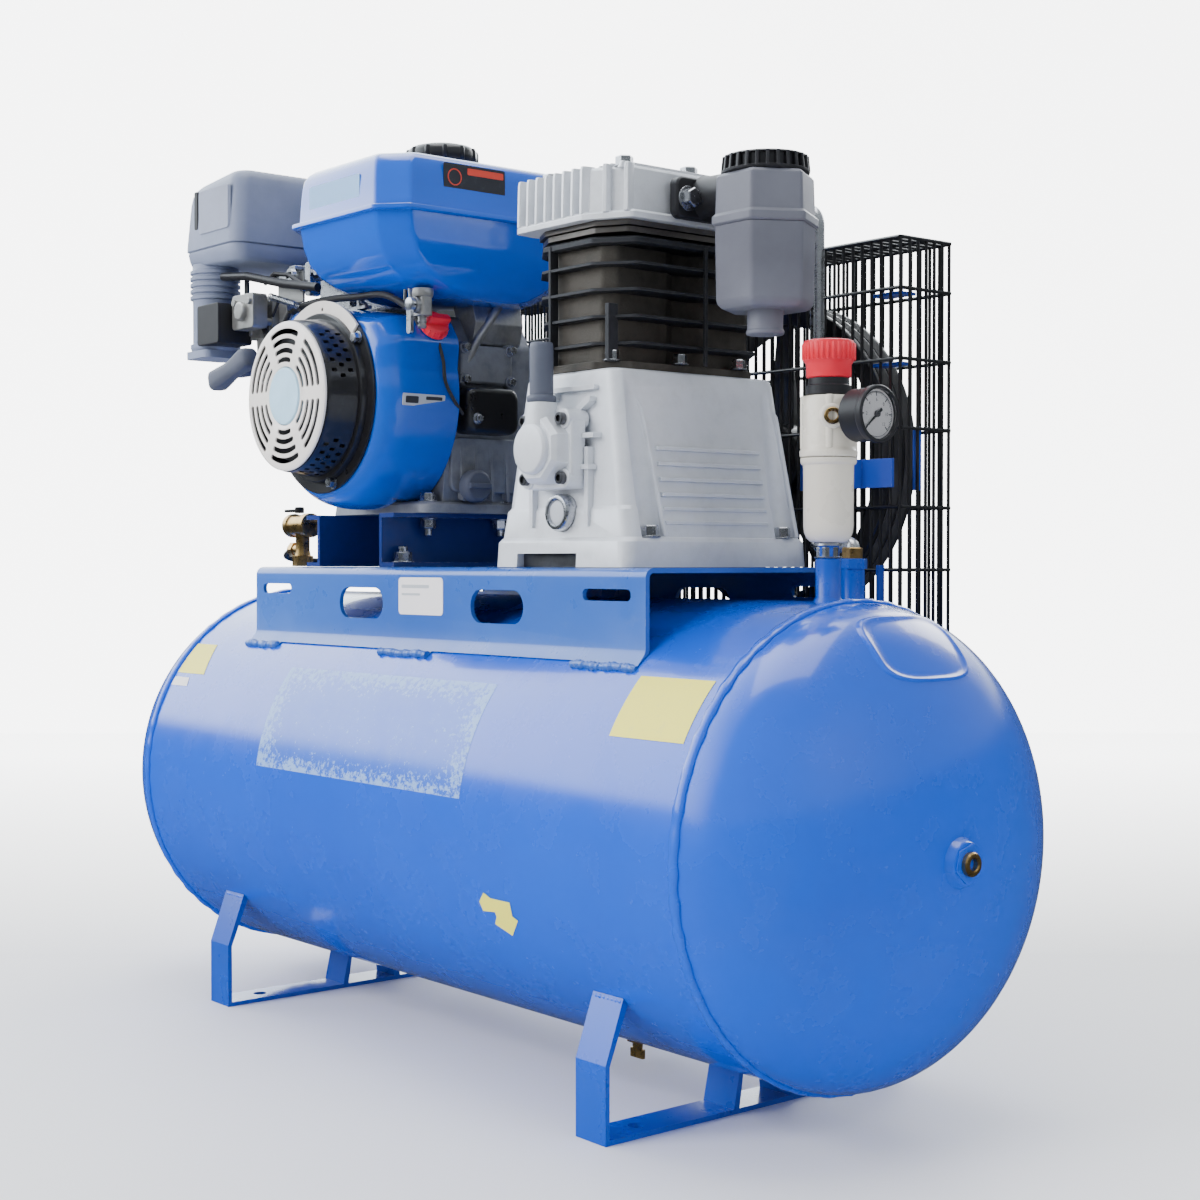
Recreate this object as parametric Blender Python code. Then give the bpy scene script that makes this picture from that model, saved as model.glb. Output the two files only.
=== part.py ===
"""Petrol-engine belt-driven twin-cylinder air compressor on a horizontal receiver.

Dimensions are millimetres, the scene is metres, +Z is up.
X runs along the receiver and left is -X.  The front, -Y, is the service side
(recoil starter, pump end cover); the rear, +Y, is the belt side.
The origin is on the floor midway between the feet.
"""
import math
import bpy
import bmesh
from mathutils import Vector, Matrix

MM = 0.001
GAP = 0.3                    # clearance between separate parts
MERGE_DIST = 0.0005          # vertices closer than this (mm) become one
POLE_RADIUS = 1e-6           # a lathe ring smaller than this closes to a point

# ---- receiver
TANK_R = 185.0
TANK_Z = 219.3
TANK_SEAM = 402.5            # half length of the cylindrical barrel
TANK_END = 505.0             # half length over the dished ends
TANK_WALL = 3.0
TANK_SEGMENTS = 44
TANK_AXIS = (0.0, TANK_Z)
DRAIN_X = 150.0
TAPPING_R = 8.4              # holes through the receiver wall

# ---- platform plate
PLATE_TOP = 430.0
DECK_Z = PLATE_TOP + GAP     # underside of what stands on the plate

# ---- engine
CRANK_X, CRANK_Z = -157.0, 588.0
CRANK = (CRANK_X, CRANK_Z)
RAIL_TOP = 480.0
ENGINE_Z = RAIL_TOP + GAP    # underside of the engine
OIL_FILLER = (-16.0, 506.0)  # y, z

# ---- pump
PUMP_X, PUMP_Y, PUMP_Z = 180.0, -11.5, 524.7
PUMP_PLAN = (PUMP_X, PUMP_Y)
PUMP_SHAFT = (PUMP_X, PUMP_Z)
BORE_R = 31.0
BORE_PITCH = 90.0
STROKE = 46.0
PISTON_R = 30.6
CYLINDERS = [(PUMP_X, PUMP_Y + side * BORE_PITCH / 2) for side in (-1, 1)]
SIGHT_GLASS = (PUMP_X + 3, 474.4)       # x, z
BREATHER = (PUMP_X, -127.5)             # x, y

# ---- belt drive
FLY_R = 137.0
PULLEY_R = 46.0
WHEEL_Y0, WHEEL_Y1 = 133.0, 167.0       # faces of the flywheel and the engine pulley
WHEEL_MID_Y = (WHEEL_Y0 + WHEEL_Y1) / 2
GROOVES_Y = [WHEEL_Y0 + (WHEEL_Y1 - WHEEL_Y0) * share for share in (0.3, 0.7)]


# ------------------------------------------------------------------ helpers
def tidy(bm):
    """Merge coincident vertices and turn the faces outwards."""
    bmesh.ops.remove_doubles(bm, verts=bm.verts, dist=MERGE_DIST)
    bmesh.ops.recalc_face_normals(bm, faces=bm.faces)
    return bm


def box(x0, x1, y0, y1, z0, z1):
    bm = bmesh.new()
    bmesh.ops.create_cube(bm, size=1.0)
    for v in bm.verts:
        v.co = Vector(((x0 + x1) / 2 + v.co.x * (x1 - x0),
                       (y0 + y1) / 2 + v.co.y * (y1 - y0),
                       (z0 + z1) / 2 + v.co.z * (z1 - z0)))
    return tidy(bm)


def skin(point_rows, closed=False):
    """Solid through rows of 3-D points; a one-point row is a pole.

    The end rows are capped, or joined to each other when closed.
    """
    bm = bmesh.new()
    rows = [[bm.verts.new(point) for point in row] for row in point_rows]
    pairs = list(zip(rows, rows[1:]))
    if closed:
        pairs.append((rows[-1], rows[0]))
    for a, b in pairs:
        count = max(len(a), len(b))
        for i in range(count):
            j = (i + 1) % count
            if len(a) == 1:
                bm.faces.new((a[0], b[j], b[i]))
            elif len(b) == 1:
                bm.faces.new((a[i], a[j], b[0]))
            else:
                bm.faces.new((a[i], a[j], b[j], b[i]))
    if not closed:
        for cap in (rows[0], rows[-1][::-1]):
            if len(cap) > 1:
                bm.faces.new(cap)
    return tidy(bm)


def place(along, across, axis):
    """3-D point at `along` on the axis; `across` is the other two coordinates in order."""
    u, v = across
    return {"x": (along, u, v), "y": (u, along, v), "z": (u, v, along)}[axis]


def loft(levels, axis="z", closed=False):
    """Solid through equal-length outlines, levels being [(along, outline), ...]."""
    return skin([[place(along, point, axis) for point in outline] for along, outline in levels],
                closed)


def prism(outline, start, end, axis="z"):
    return loft([(start, outline), (end, outline)], axis)


def lathe(profile, centre, axis="z", segments=24, closed=False):
    """Solid of revolution; profile is [(along, radius), ...].

    A closed profile is a loop that stays off the axis.
    """
    return loft([(along, circle(centre, radius, segments) if radius > POLE_RADIUS else [centre])
                 for along, radius in profile], axis, closed)


def rod(start, end, radius, centre, axis="z", segments=24):
    return lathe([(start, radius), (end, radius)], centre, axis, segments)


def tube(path, radius, segments=12):
    """Round bar swept along a polyline."""
    points = [Vector(p) for p in path]
    tangent = (points[1] - points[0]).normalized()
    reference = Vector((0, 0, 1)) if abs(tangent.z) < 0.9 else Vector((1, 0, 0))
    side = tangent.cross(reference).normalized()
    rows = []
    for i, point in enumerate(points):
        before = points[max(i - 1, 0)]
        after = points[min(i + 1, len(points) - 1)]
        tangent = (after - before).normalized()
        side = (side - tangent * side.dot(tangent)).normalized()
        up = tangent.cross(side)
        angles = [2 * math.pi * j / segments for j in range(segments)]
        rows.append([point + (side * math.cos(angle) + up * math.sin(angle)) * radius
                     for angle in angles])
    return skin(rows)


def fillet_path(path, radius, steps):
    """Round the corners of a 3-D polyline."""
    points = [Vector(p) for p in path]
    out = [points[0]]
    for before, corner, after in zip(points, points[1:], points[2:]):
        back = (before - corner).normalized()
        ahead = (after - corner).normalized()
        reach = min(radius / math.tan(back.angle(ahead) / 2),
                    (before - corner).length * 0.49, (after - corner).length * 0.49)
        start, end = corner + back * reach, corner + ahead * reach
        for i in range(steps + 1):
            t = i / steps
            out.append(start * (1 - t) ** 2 + corner * 2 * t * (1 - t) + end * t * t)
    out.append(points[-1])
    return out


def circle(centre, radius, segments=24, phase=0.0):
    u, v = centre
    angles = [phase + 2 * math.pi * i / segments for i in range(segments)]
    return [(u + radius * math.cos(angle), v + radius * math.sin(angle)) for angle in angles]


def arc(centre, radius, start, end, steps):
    """Arc points, with the angles in degrees."""
    u, v = centre
    angles = [math.radians(start + (end - start) * i / steps) for i in range(steps + 1)]
    return [(u + radius * math.cos(angle), v + radius * math.sin(angle)) for angle in angles]


def around(centre, half_u, half_v):
    """Limits u0, u1, v0, v1 of a rectangle about a centre."""
    u, v = centre
    return u - half_u, u + half_u, v - half_v, v + half_v


def rounded(u0, u1, v0, v1, radius, steps=3):
    """Rounded rectangle outline."""
    corners = ((u1 - radius, v0 + radius, -90), (u1 - radius, v1 - radius, 0),
               (u0 + radius, v1 - radius, 90), (u0 + radius, v0 + radius, 180))
    return [point for u, v, angle in corners
            for point in arc((u, v), radius, angle, angle + 90, steps)]


def chamfered(u0, u1, v0, v1, cut_u, cut_v):
    """Rectangle outline with its corners cut off."""
    return [(u0 + cut_u, v0), (u1 - cut_u, v0), (u1, v0 + cut_v), (u1, v1 - cut_v),
            (u1 - cut_u, v1), (u0 + cut_u, v1), (u0, v1 - cut_v), (u0, v0 + cut_v)]


def symmetric(half):
    """Outline completed by its mirror image in y = 0; points are (y, z)."""
    return half + [(-y, z) for y, z in reversed(half)]


def to_object(bm, name):
    mesh = bpy.data.meshes.new(name)
    bm.to_mesh(mesh)
    bm.free()
    ob = bpy.data.objects.new(name, mesh)
    bpy.context.scene.collection.objects.link(ob)
    return ob


def combine(base, others, operation):
    """Exact boolean of bmesh solids, applied one after another."""
    for other in others:
        target = to_object(base, "work_target")
        tool = to_object(other, "work_tool")
        modifier = target.modifiers.new("cut", "BOOLEAN")
        modifier.operation = operation
        modifier.solver = "EXACT"
        modifier.object = tool
        bpy.context.view_layer.update()
        depsgraph = bpy.context.evaluated_depsgraph_get()
        result = bpy.data.meshes.new_from_object(target.evaluated_get(depsgraph))
        base = bmesh.new()
        base.from_mesh(result)
        for ob in (target, tool):
            mesh = ob.data
            bpy.data.objects.remove(ob, do_unlink=True)
            bpy.data.meshes.remove(mesh)
        bpy.data.meshes.remove(result)
    return base


def union(base, *others):
    return combine(base, others, "UNION")


def cut(base, *others):
    return combine(base, others, "DIFFERENCE")


def turned(bm, degrees, axis, centre):
    bmesh.ops.rotate(bm, verts=bm.verts, cent=Vector(centre),
                     matrix=Matrix.Rotation(math.radians(degrees), 3, axis))
    return bm


def moved(bm, offset):
    bmesh.ops.translate(bm, verts=bm.verts, vec=Vector(offset))
    return bm


def add_part(name, bm, mat, origin=(0, 0, 0)):
    """Make the scene object, scaled to metres, with its origin at the given point."""
    origin = Vector(origin)
    for v in bm.verts:
        v.co = (v.co - origin) * MM
    bmesh.ops.dissolve_degenerate(bm, edges=bm.edges, dist=0.000001)
    bmesh.ops.recalc_face_normals(bm, faces=bm.faces)
    ob = to_object(bm, name)
    ob.data.materials.append(mat)
    ob.location = origin * MM


def material(name, rgb, rough, metal=0.0):
    mat = bpy.data.materials.new(name)
    mat.use_nodes = True
    shader = mat.node_tree.nodes["Principled BSDF"]
    shader.inputs["Base Color"].default_value = (*rgb, 1.0)
    shader.inputs["Roughness"].default_value = rough
    shader.inputs["Metallic"].default_value = metal
    mat.diffuse_color = (*rgb, 1.0)
    return mat


# ---------------------------------------------------------------- materials
BLUE = material("receiver_blue", rgb=(0.012, 0.19, 0.72), rough=0.22)
STEEL_BLUE = material("bracket_blue", rgb=(0.10, 0.24, 0.62), rough=0.35)
NAVY = material("rail_navy", rgb=(0.008, 0.035, 0.19), rough=0.4)
ENGINE_BLUE = material("engine_blue", rgb=(0.01, 0.20, 0.66), rough=0.25)
CAST_GREY = material("cast_grey", rgb=(0.16, 0.17, 0.20), rough=0.55, metal=0.4)
ALUMINIUM = material("cast_aluminium", rgb=(0.62, 0.66, 0.72), rough=0.42, metal=0.6)
IRON = material("cast_iron_dark", rgb=(0.035, 0.035, 0.04), rough=0.6, metal=0.5)
PLASTIC_GREY = material("plastic_grey", rgb=(0.12, 0.125, 0.16), rough=0.5)
AIRBOX_GREY = material("airbox_grey", rgb=(0.17, 0.20, 0.30), rough=0.45)
BLACK = material("black_enamel", rgb=(0.012, 0.012, 0.014), rough=0.4)
RUBBER = material("belt_rubber", rgb=(0.015, 0.015, 0.016), rough=0.75)
WHITE = material("white_enamel", rgb=(0.8, 0.78, 0.74), rough=0.35)
RED = material("red_plastic", rgb=(0.75, 0.012, 0.035), rough=0.35)
CREAM = material("cream_enamel", rgb=(0.78, 0.74, 0.64), rough=0.35)
BRASS = material("brass", rgb=(0.72, 0.48, 0.20), rough=0.3, metal=1.0)
STEEL = material("bright_steel", rgb=(0.62, 0.63, 0.66), rough=0.28, metal=1.0)


# ----------------------------------------------------------------- receiver
def head_profile(side, radius, end, steps=6):
    """(x, radius) points of a quarter ellipse from the seam to the pole."""
    angles = [math.pi / 2 * i / steps for i in range(steps + 1)]
    return [(side * (TANK_SEAM + GAP + (end - TANK_SEAM) * math.sin(angle)),
             radius * math.cos(angle)) for angle in angles]


def dished_head(side):
    """Hollow end of the receiver; side is -1 for left, 1 for right."""
    outer = head_profile(side, TANK_R, TANK_END)
    inner = head_profile(side, TANK_R - TANK_WALL, TANK_END - TANK_WALL)
    return lathe(inner[::-1] + outer, TANK_AXIS, "x", TANK_SEGMENTS)


def receiver():
    bore = TANK_R - TANK_WALL
    barrel = lathe([(-TANK_SEAM, TANK_R), (TANK_SEAM, TANK_R), (TANK_SEAM, bore),
                    (-TANK_SEAM, bore)], TANK_AXIS, "x", TANK_SEGMENTS, closed=True)
    drain_hole = rod(20, 50, TAPPING_R, (DRAIN_X, 0), "z", 16)
    add_part("tank_barrel", cut(barrel, drain_hole), BLUE)

    add_part("tank_head_left", dished_head(-1), BLUE)
    port_hole = rod(TANK_END - 30, TANK_END + 20, TAPPING_R, TANK_AXIS, "x", 16)
    add_part("tank_head_right", cut(dished_head(1), port_hole), BLUE)


def tank_port():
    """Flanged hexagon bush in the pole of the right head."""
    # x from the end of the receiver, radius
    profile = [(-2.5, 8.0), (0.7, 8.0), (0.7, 13.5), (4.5, 13.5), (6.0, 11.8), (6.0, 0)]
    bush = lathe([(TANK_END + x, radius) for x, radius in profile], TANK_AXIS, "x", 24)
    hexagon = prism(circle(TANK_AXIS, 9.8, 6), TANK_END + 5.0, TANK_END + 13.0, "x")
    bore = rod(TANK_END - 10, TANK_END + 20, 4.5, TANK_AXIS, "x", 12)
    add_part("tank_port", cut(union(bush, hexagon), bore), BRASS, (TANK_END, 0, TANK_Z))


# --------------------------------------------------------------------- feet
FOOT_X = 288.6               # centre of the foot
FOOT_W = 35.4                # width along x
FOOT_T = 4.0                 # plate thickness
FOOT_Y = 165.6               # outer face of the leg
FOOT_Z = 60.0                # height where the leg bends inwards
FOOT_TOP_Y = 143.9           # where the leg meets the receiver
STRUT_Y = 31.4               # strut centre at its base
STRUT_TOP_Y = 23.4           # where the strut meets the receiver
FOOT_HOLE_Y = 121.0
FOOT_HOLE_R = 6.5


def under_tank(y):
    """(y, z) of a point GAP below the receiver's underside, taken square to it."""
    angle = math.asin(y / TANK_R)
    radius = TANK_R + GAP
    return (math.sin(angle) * radius, TANK_Z - math.cos(angle) * radius)


def foot(name, x):
    """Base plate with two outer legs and two inner struts."""
    inner_y = FOOT_Y - FOOT_T
    strut_half = FOOT_T / 2 + 1.0
    half = [(STRUT_Y - strut_half, FOOT_T), under_tank(STRUT_TOP_Y),
            under_tank(STRUT_TOP_Y + FOOT_T), (STRUT_Y + strut_half, FOOT_T),
            (inner_y, FOOT_T), (inner_y, FOOT_Z - 1.2),
            under_tank(FOOT_TOP_Y), under_tank(FOOT_TOP_Y + 4.2),
            (FOOT_Y, FOOT_Z), (FOOT_Y, 0)]
    plate = prism(symmetric(half), x - FOOT_W / 2, x + FOOT_W / 2, "x")
    holes = [rod(-2, 8, FOOT_HOLE_R, (x, side * FOOT_HOLE_Y), "z", 16) for side in (-1, 1)]
    add_part(name, cut(plate, *holes), BLUE)


# ----------------------------------------------------------- platform, rails
PLATE_X = 297.0              # half length
PLATE_Y = 118.5              # outer face of the sides
PLATE_T = 4.0
PLATE_CORNER_R = 8.0
PLATE_BEND_Z = 367.5         # below this the sides flare out to the lip
LIP_Y, LIP_Z = 128.2, 353.6

# slots through the sides of the plate: x0, x1, z0, z1, corner radius
PLATE_SLOTS = [
    (-140, -66.5, 383, 411.2, 13.5),
    (69.5, 143.5, 383, 411.2, 13.5),
    (221, 279.6, 404.2, 413.6, 4.4),
    (-283, -229, 404.2, 413.6, 4.4),
]

RAIL_LEFT_X, RAIL_RIGHT_X = -210.0, -104.0      # outer faces of the webs
RAIL_Y0, RAIL_Y1 = -98.0, 112.0
RAIL_FLANGE = 24.0
RAIL_T = 4.0


def platform_plate():
    """Folded plate over the receiver, open below."""
    corner = (PLATE_Y - PLATE_CORNER_R, PLATE_TOP - PLATE_CORNER_R)
    inner_y = PLATE_Y - PLATE_T
    outer = [(LIP_Y, LIP_Z + 0.4), (PLATE_Y + 1.2, PLATE_BEND_Z - 3.5), (PLATE_Y, PLATE_BEND_Z)]
    outer += arc(corner, PLATE_CORNER_R, 0, 90, 4)
    inner = [(LIP_Y - 3.4, LIP_Z + 3.3), (inner_y + 0.6, PLATE_BEND_Z - 2.8),
             (inner_y, PLATE_BEND_Z)]
    inner += arc(corner, PLATE_CORNER_R - PLATE_T, 0, 90, 4)
    plate = prism(symmetric(outer) + symmetric(inner)[::-1], -PLATE_X, PLATE_X, "x")
    slots = [prism(rounded(x0, x1, z0, z1, radius, 4), -150, 150, "y")
             for x0, x1, z0, z1, radius in PLATE_SLOTS]
    add_part("platform_plate", cut(plate, *slots), STEEL_BLUE)


def engine_rail(name, web_x, side):
    """Channel along y whose flanges point to the given side."""
    web_inner, tip = web_x + side * RAIL_T, web_x + side * RAIL_FLANGE
    z0, z1 = DECK_Z, RAIL_TOP
    outline = [(web_x, z0), (tip, z0), (tip, z0 + RAIL_T), (web_inner, z0 + RAIL_T),
               (web_inner, z1 - RAIL_T), (tip, z1 - RAIL_T), (tip, z1), (web_x, z1)]
    add_part(name, prism(outline, RAIL_Y0, RAIL_Y1, "y"), NAVY)


# -------------------------------------------------------------------- engine
CYLINDER_TILT = 25           # degrees, up and to the left
SHROUD_R = 104.0
SHROUD_FRONT_Y = -124.0

# upper lobe of the shroud: x, z from the crank axis
SHROUD_LOBE = [(104, 50), (88, 72), (20, 84), (-66, 95), (-84, 84)]
# y, scale of the outline
SHROUD_OUTER = [(-43, 1.0), (-92, 1.0), (-112, 0.96), (SHROUD_FRONT_Y, 0.885)]
SHROUD_INNER = [(-30, 0.97), (-92, 0.97), (-111, 0.93), (-121.5, 0.86)]


def engine_crankcase():
    base = prism(rounded(-238, -74, -68, 54, 10, 2), ENGINE_Z, ENGINE_Z + 11)
    outline = [(-228, ENGINE_Z + 8), (-84, ENGINE_Z + 8), (-80, ENGINE_Z + 40), (-80, 640),
               (-98, 668), (-180, 668), (-212.5, 654.8), (-242.0, 591.3), (-236, 560)]
    boss = lathe([(55, 46), (66, 44), (70, 34)], CRANK, "y", 24)
    shaft_hole = rod(20, 80, 13.0, CRANK, "y", 28)
    filler_hole = rod(-95, -70, 10.4, OIL_FILLER, "x", 16)
    body = union(base, prism(outline, -41, 60, "y"), boss)
    add_part("engine_crankcase", cut(body, shaft_hole, filler_hole), CAST_GREY)


def engine_cylinder():
    """Finned cylinder and its rocker cover, modelled along -X and then tilted."""
    centre = (CRANK_X, 0, CRANK_Z)
    fins = [box(x, x + 4, -42, 62, 545, 628) for x in (-247, -259, -271, -283, -295)]
    cylinder = union(box(-300, -236, -30, 50, 555, 625), *fins)
    add_part("engine_cylinder", turned(cylinder, CYLINDER_TILT, "Y", centre), ALUMINIUM)

    wide, narrow = rounded(-28, 48, 557, 623, 14), rounded(-22, 42, 563, 617, 14)
    rocker = loft([(-300.4, wide), (-316, wide), (-324, narrow)], "x")
    add_part("engine_rocker_cover", turned(rocker, CYLINDER_TILT, "Y", centre), STEEL)


def shroud_outline(scale):
    return (arc(CRANK, SHROUD_R * scale, -180, 20, 14)
            + [(CRANK_X + x * scale, CRANK_Z + z * scale) for x, z in SHROUD_LOBE])


def fan_shroud():
    """Deep cup around the crank axis, open to the rear, with a lobe on top."""
    shell, void = [loft([(y, shroud_outline(scale)) for y, scale in stations], "y")
                   for stations in (SHROUD_OUTER, SHROUD_INNER)]
    mouth = rod(-130, -110, 66, CRANK, "y", 24)
    base_clearance = box(-300, 0, -70.5, -20, 470, 493)
    add_part("fan_shroud", cut(shell, void, mouth, base_clearance), ENGINE_BLUE)


def recoil_starter():
    origin = (CRANK_X, -125.0, CRANK_Z)
    flange = lathe([(SHROUD_FRONT_Y - GAP, 89), (-127, 89), (-127, 0)], CRANK, "y", 32)
    drum = lathe([(-126, 74), (-131, 71.5), (-160, 70), (-163.0, 68.5)], CRANK, "y", 32)
    void = rod(-100, -159, 62, CRANK, "y", 24)
    add_part("recoil_housing", cut(union(flange, drum), void), BLACK, origin)

    cover = [(-163.3, 68.5), (-165.2, 68.0), (-167.0, 64.5), (-167.6, 27), (-166.2, 25.5),
             (-166.2, 0)]
    add_part("recoil_cover", lathe(cover, CRANK, "y", 32), WHITE, origin)


def recoil_handle():
    """Waisted grip with a tapered stem to the rear."""
    origin = (-290.0, -148.0, 624.0)
    # x, half depth, half height, corner radius
    stations = [(-36, 7, 8, 5), (-30, 11, 10, 6), (0, 9, 9, 6), (30, 11, 10, 6), (36, 7, 8, 5)]
    grip = loft([(x, rounded(*around((0, 0), half_y, half_z), radius, 2))
                 for x, half_y, half_z, radius in stations], "x")
    grip = union(grip, lathe([(0, 7.0), (22, 4.5)], (0, 0), "y", 12))
    grip = moved(turned(grip, -16, "Y", (0, 0, 0)), origin)
    add_part("recoil_handle", grip, PLASTIC_GREY, origin)


# ---- fuel tank: wide upper shell, seam rim, narrower lower pan
FUEL_X0, FUEL_X1 = -190.0, -10.0
FUEL_Y0, FUEL_Y1 = -148.0, 74.0
FUEL_CHAMFER = 20.0
FUEL_CAP = (-96.0, -32.0)    # x, y

# z, inset all round, extra inset of the front edge
FUEL_OUTER = [
    (676, 34, 54), (680, 24, 40), (692, 12, 24), (712, 6, 6), (743, 3, 0), (745, -3, 0),
    (749, -3, 0), (751, 2, 0), (782, 4, 0), (795, 9, 0), (799, 18, 0),
]
FUEL_INNER = [
    (679.5, 36, 54), (684, 27, 40), (694, 15, 24), (712, 9, 6), (745, 6, 0), (782, 8, 0),
    (793, 14, 0),
]


def fuel_outline(inset, front_inset):
    """Chamfered plan of the fuel tank; the front right cut is 1.1 times longer in x."""
    c = FUEL_CHAMFER
    x0, x1 = FUEL_X0 + inset, FUEL_X1 - inset
    y0, y1 = FUEL_Y0 + inset + front_inset, FUEL_Y1 - inset
    return [(x0 + c, y0), (x1 - c * 1.1, y0), (x1, y0 + c), (x1, y1 - c),
            (x1 - c, y1), (x0 + c, y1), (x0, y1 - c), (x0, y0 + c)]


def fuel_tank():
    shell, void = [loft([(z, fuel_outline(inset, front)) for z, inset, front in stations])
                   for stations in (FUEL_OUTER, FUEL_INNER)]
    neck = rod(790, 807, 27, FUEL_CAP, "z", 28)
    mouth = rod(780, 820, 23, FUEL_CAP, "z", 24)
    add_part("fuel_tank", cut(union(shell, neck), void, mouth), ENGINE_BLUE)

    cap = lathe([(807.4, 26), (807.4, 33), (819, 33), (824, 29), (826, 0)], FUEL_CAP, "z", 28)
    plug = rod(800, 810, 21.5, FUEL_CAP, "z", 24)
    add_part("fuel_cap", union(cap, plug), BLACK, (*FUEL_CAP, 812))


# ---- air cleaner and carburettor
AIRBOX_X0, AIRBOX_X1 = -388.0, -277.0
AIRBOX_Y0, AIRBOX_Y1 = -152.0, -30.0
AIRBOX_CORNER_R = 16.0
AIRBOX_SLOPE = 0.09          # fall of the cover's top towards -X


def airbox_outline(inset):
    return rounded(AIRBOX_X0 + inset, AIRBOX_X1 - inset, AIRBOX_Y0 + inset, AIRBOX_Y1 - inset,
                   AIRBOX_CORNER_R)


def air_cleaner():
    tray = loft([(727, airbox_outline(2)), (748.7, airbox_outline(0))])
    stub = lathe([(648, 22), (652, 25), (678, 25), (680, 23), (728, 23)], (-362, -128), "z", 20)
    web = box(-352, -296, -112, -104, 700, 728)
    add_part("air_cleaner_base", union(tray, union(stub, web)), AIRBOX_GREY)

    # z, inset
    stations = [(749.0, 0), (806, 3), (814, 7), (818, 14)]
    cover = loft([(z, airbox_outline(inset)) for z, inset in stations])
    for v in cover.verts:
        if v.co.z > 790:
            v.co.z += (v.co.x - AIRBOX_X1) * AIRBOX_SLOPE
    add_part("air_cleaner_cover", cover, AIRBOX_GREY)


def carburettor():
    body = box(-318, -262, -118, -84, 655, 698)
    right_arm = box(-264, -216, -112, -106, 686, 716)
    bowl = rod(640, 656, 17, (-290, -101), "z", 20)
    left_throat = rod(-336, -300, 15, (-101, 678), "x", 16)
    right_block = box(-262.5, -246, -112, -90, 664, 690)
    add_part("carburettor", union(body, right_arm, bowl, left_throat, right_block), ALUMINIUM)

    x, z = -309.0, 690.0
    choke = union(rod(-122.5, -118.3, 5, (x, z), "y", 12),
                  box(x - 3, x + 3, -122.5, -119.5, z, z + 32))
    add_part("choke_lever", choke, BLACK, (x, -121.0, z))

    x, z = -226.0, 712.0
    throttle = union(rod(-121.5, -116.5, 6, (x, z), "y", 12),
                     box(x - 40, x + 4, -121.5, -118.5, z - 3, z + 3))
    add_part("throttle_lever", throttle, STEEL, (x, -118.0, z))


def fuel_tap():
    """Tap under the fuel tank with its hanging lever."""
    x, z = -47.0, 667.0
    tap = union(rod(-98, -84, 7, (x, z), "y", 12), box(x - 9, x + 9, -94, -83, z - 10, z + 9),
                rod(646, 659, 4, (x, -88.5), "z", 10))
    add_part("fuel_tap", tap, ALUMINIUM)
    lever = union(rod(-103, -98.3, 6.5, (x, z), "y", 12),
                  box(x - 3.5, x + 3.5, -103, -99.5, z - 26, z))
    add_part("fuel_tap_lever", lever, STEEL, (x, -100.0, z))


def engine_switch():
    """Round switch with a bar, facing right and upwards on the shroud."""
    origin = (CRANK_X + 96.0, -68.0, CRANK_Z + 61.0)
    switch = union(lathe([(0.6, 13.5), (6, 13.5), (10, 12), (10, 0)], (0, 0), "x", 20),
                   box(8, 17, -12, 12, -4, 4))
    add_part("engine_switch", moved(turned(switch, -36, "Y", (0, 0, 0)), origin), RED, origin)


def crankcase_fittings():
    """Ignition box and oil filler cap on the right side of the crankcase."""
    wide, narrow = rounded(-30, 30, 556, 598, 9, 2), rounded(-27, 27, 559, 595, 8, 2)
    add_part("ignition_box", loft([(-79.6, wide), (-62, wide), (-58, narrow)], "x"), BLACK)

    cap = union(rod(-83.6, -70, 10, OIL_FILLER, "x", 16),
                lathe([(-71, 15), (-60, 15), (-58, 12.5), (-58, 0)], OIL_FILLER, "x", 20))
    add_part("oil_filler_cap", cap, PLASTIC_GREY, (-62.0, *OIL_FILLER))


def muffler():
    """Rounded box with a bent tail pipe on its left side."""
    shell = prism(rounded(-352, -206, 688, 772, 22), -12, 96, "y")
    tail = tube([(-340, 80, 730), (-362, 80, 730), (-374, 92, 730)], 9)
    add_part("muffler", union(shell, tail), STEEL)


# ---------------------------------------------------------------- belt drive
GROOVE_DEPTH = 9.0
GROOVE_TOP_HALF, GROOVE_FLOOR_HALF = 5.6, 3.4   # half widths
WHEEL_CHAMFER = 1.0
BELT_SEAT = 6.0              # depth of the belts' inner face below the wheel rims
BELT_THICKNESS = 6.0
BELT_HALF_WIDTH = 4.2
BELT_TAPER = 1.4             # narrowing of each side at the inner face


def grooved_ring(radius, inner_radius, segments):
    """Two-groove wheel rim about the y axis, as a closed (y, radius) loop."""
    y0, y1, c = WHEEL_Y0, WHEEL_Y1, WHEEL_CHAMFER
    floor = radius - GROOVE_DEPTH
    profile = [(y0, inner_radius), (y0, radius - c), (y0 + c, radius)]
    for y in GROOVES_Y:
        profile += [(y - GROOVE_TOP_HALF, radius), (y - GROOVE_FLOOR_HALF, floor),
                    (y + GROOVE_FLOOR_HALF, floor), (y + GROOVE_TOP_HALF, radius)]
    profile += [(y1 - c, radius), (y1, radius - c), (y1, inner_radius)]
    centre = CRANK if radius == PULLEY_R else PUMP_SHAFT
    return lathe(profile, centre, "y", segments, closed=True)


def engine_pulley():
    shaft = lathe([(62, 12.7), (169, 12.7), (171, 11.5)], CRANK, "y", 24)
    add_part("engine_pulley_shaft", union(shaft, grooved_ring(PULLEY_R, 12.0, 24)), IRON,
             (CRANK_X, WHEEL_MID_Y, CRANK_Z))


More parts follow.
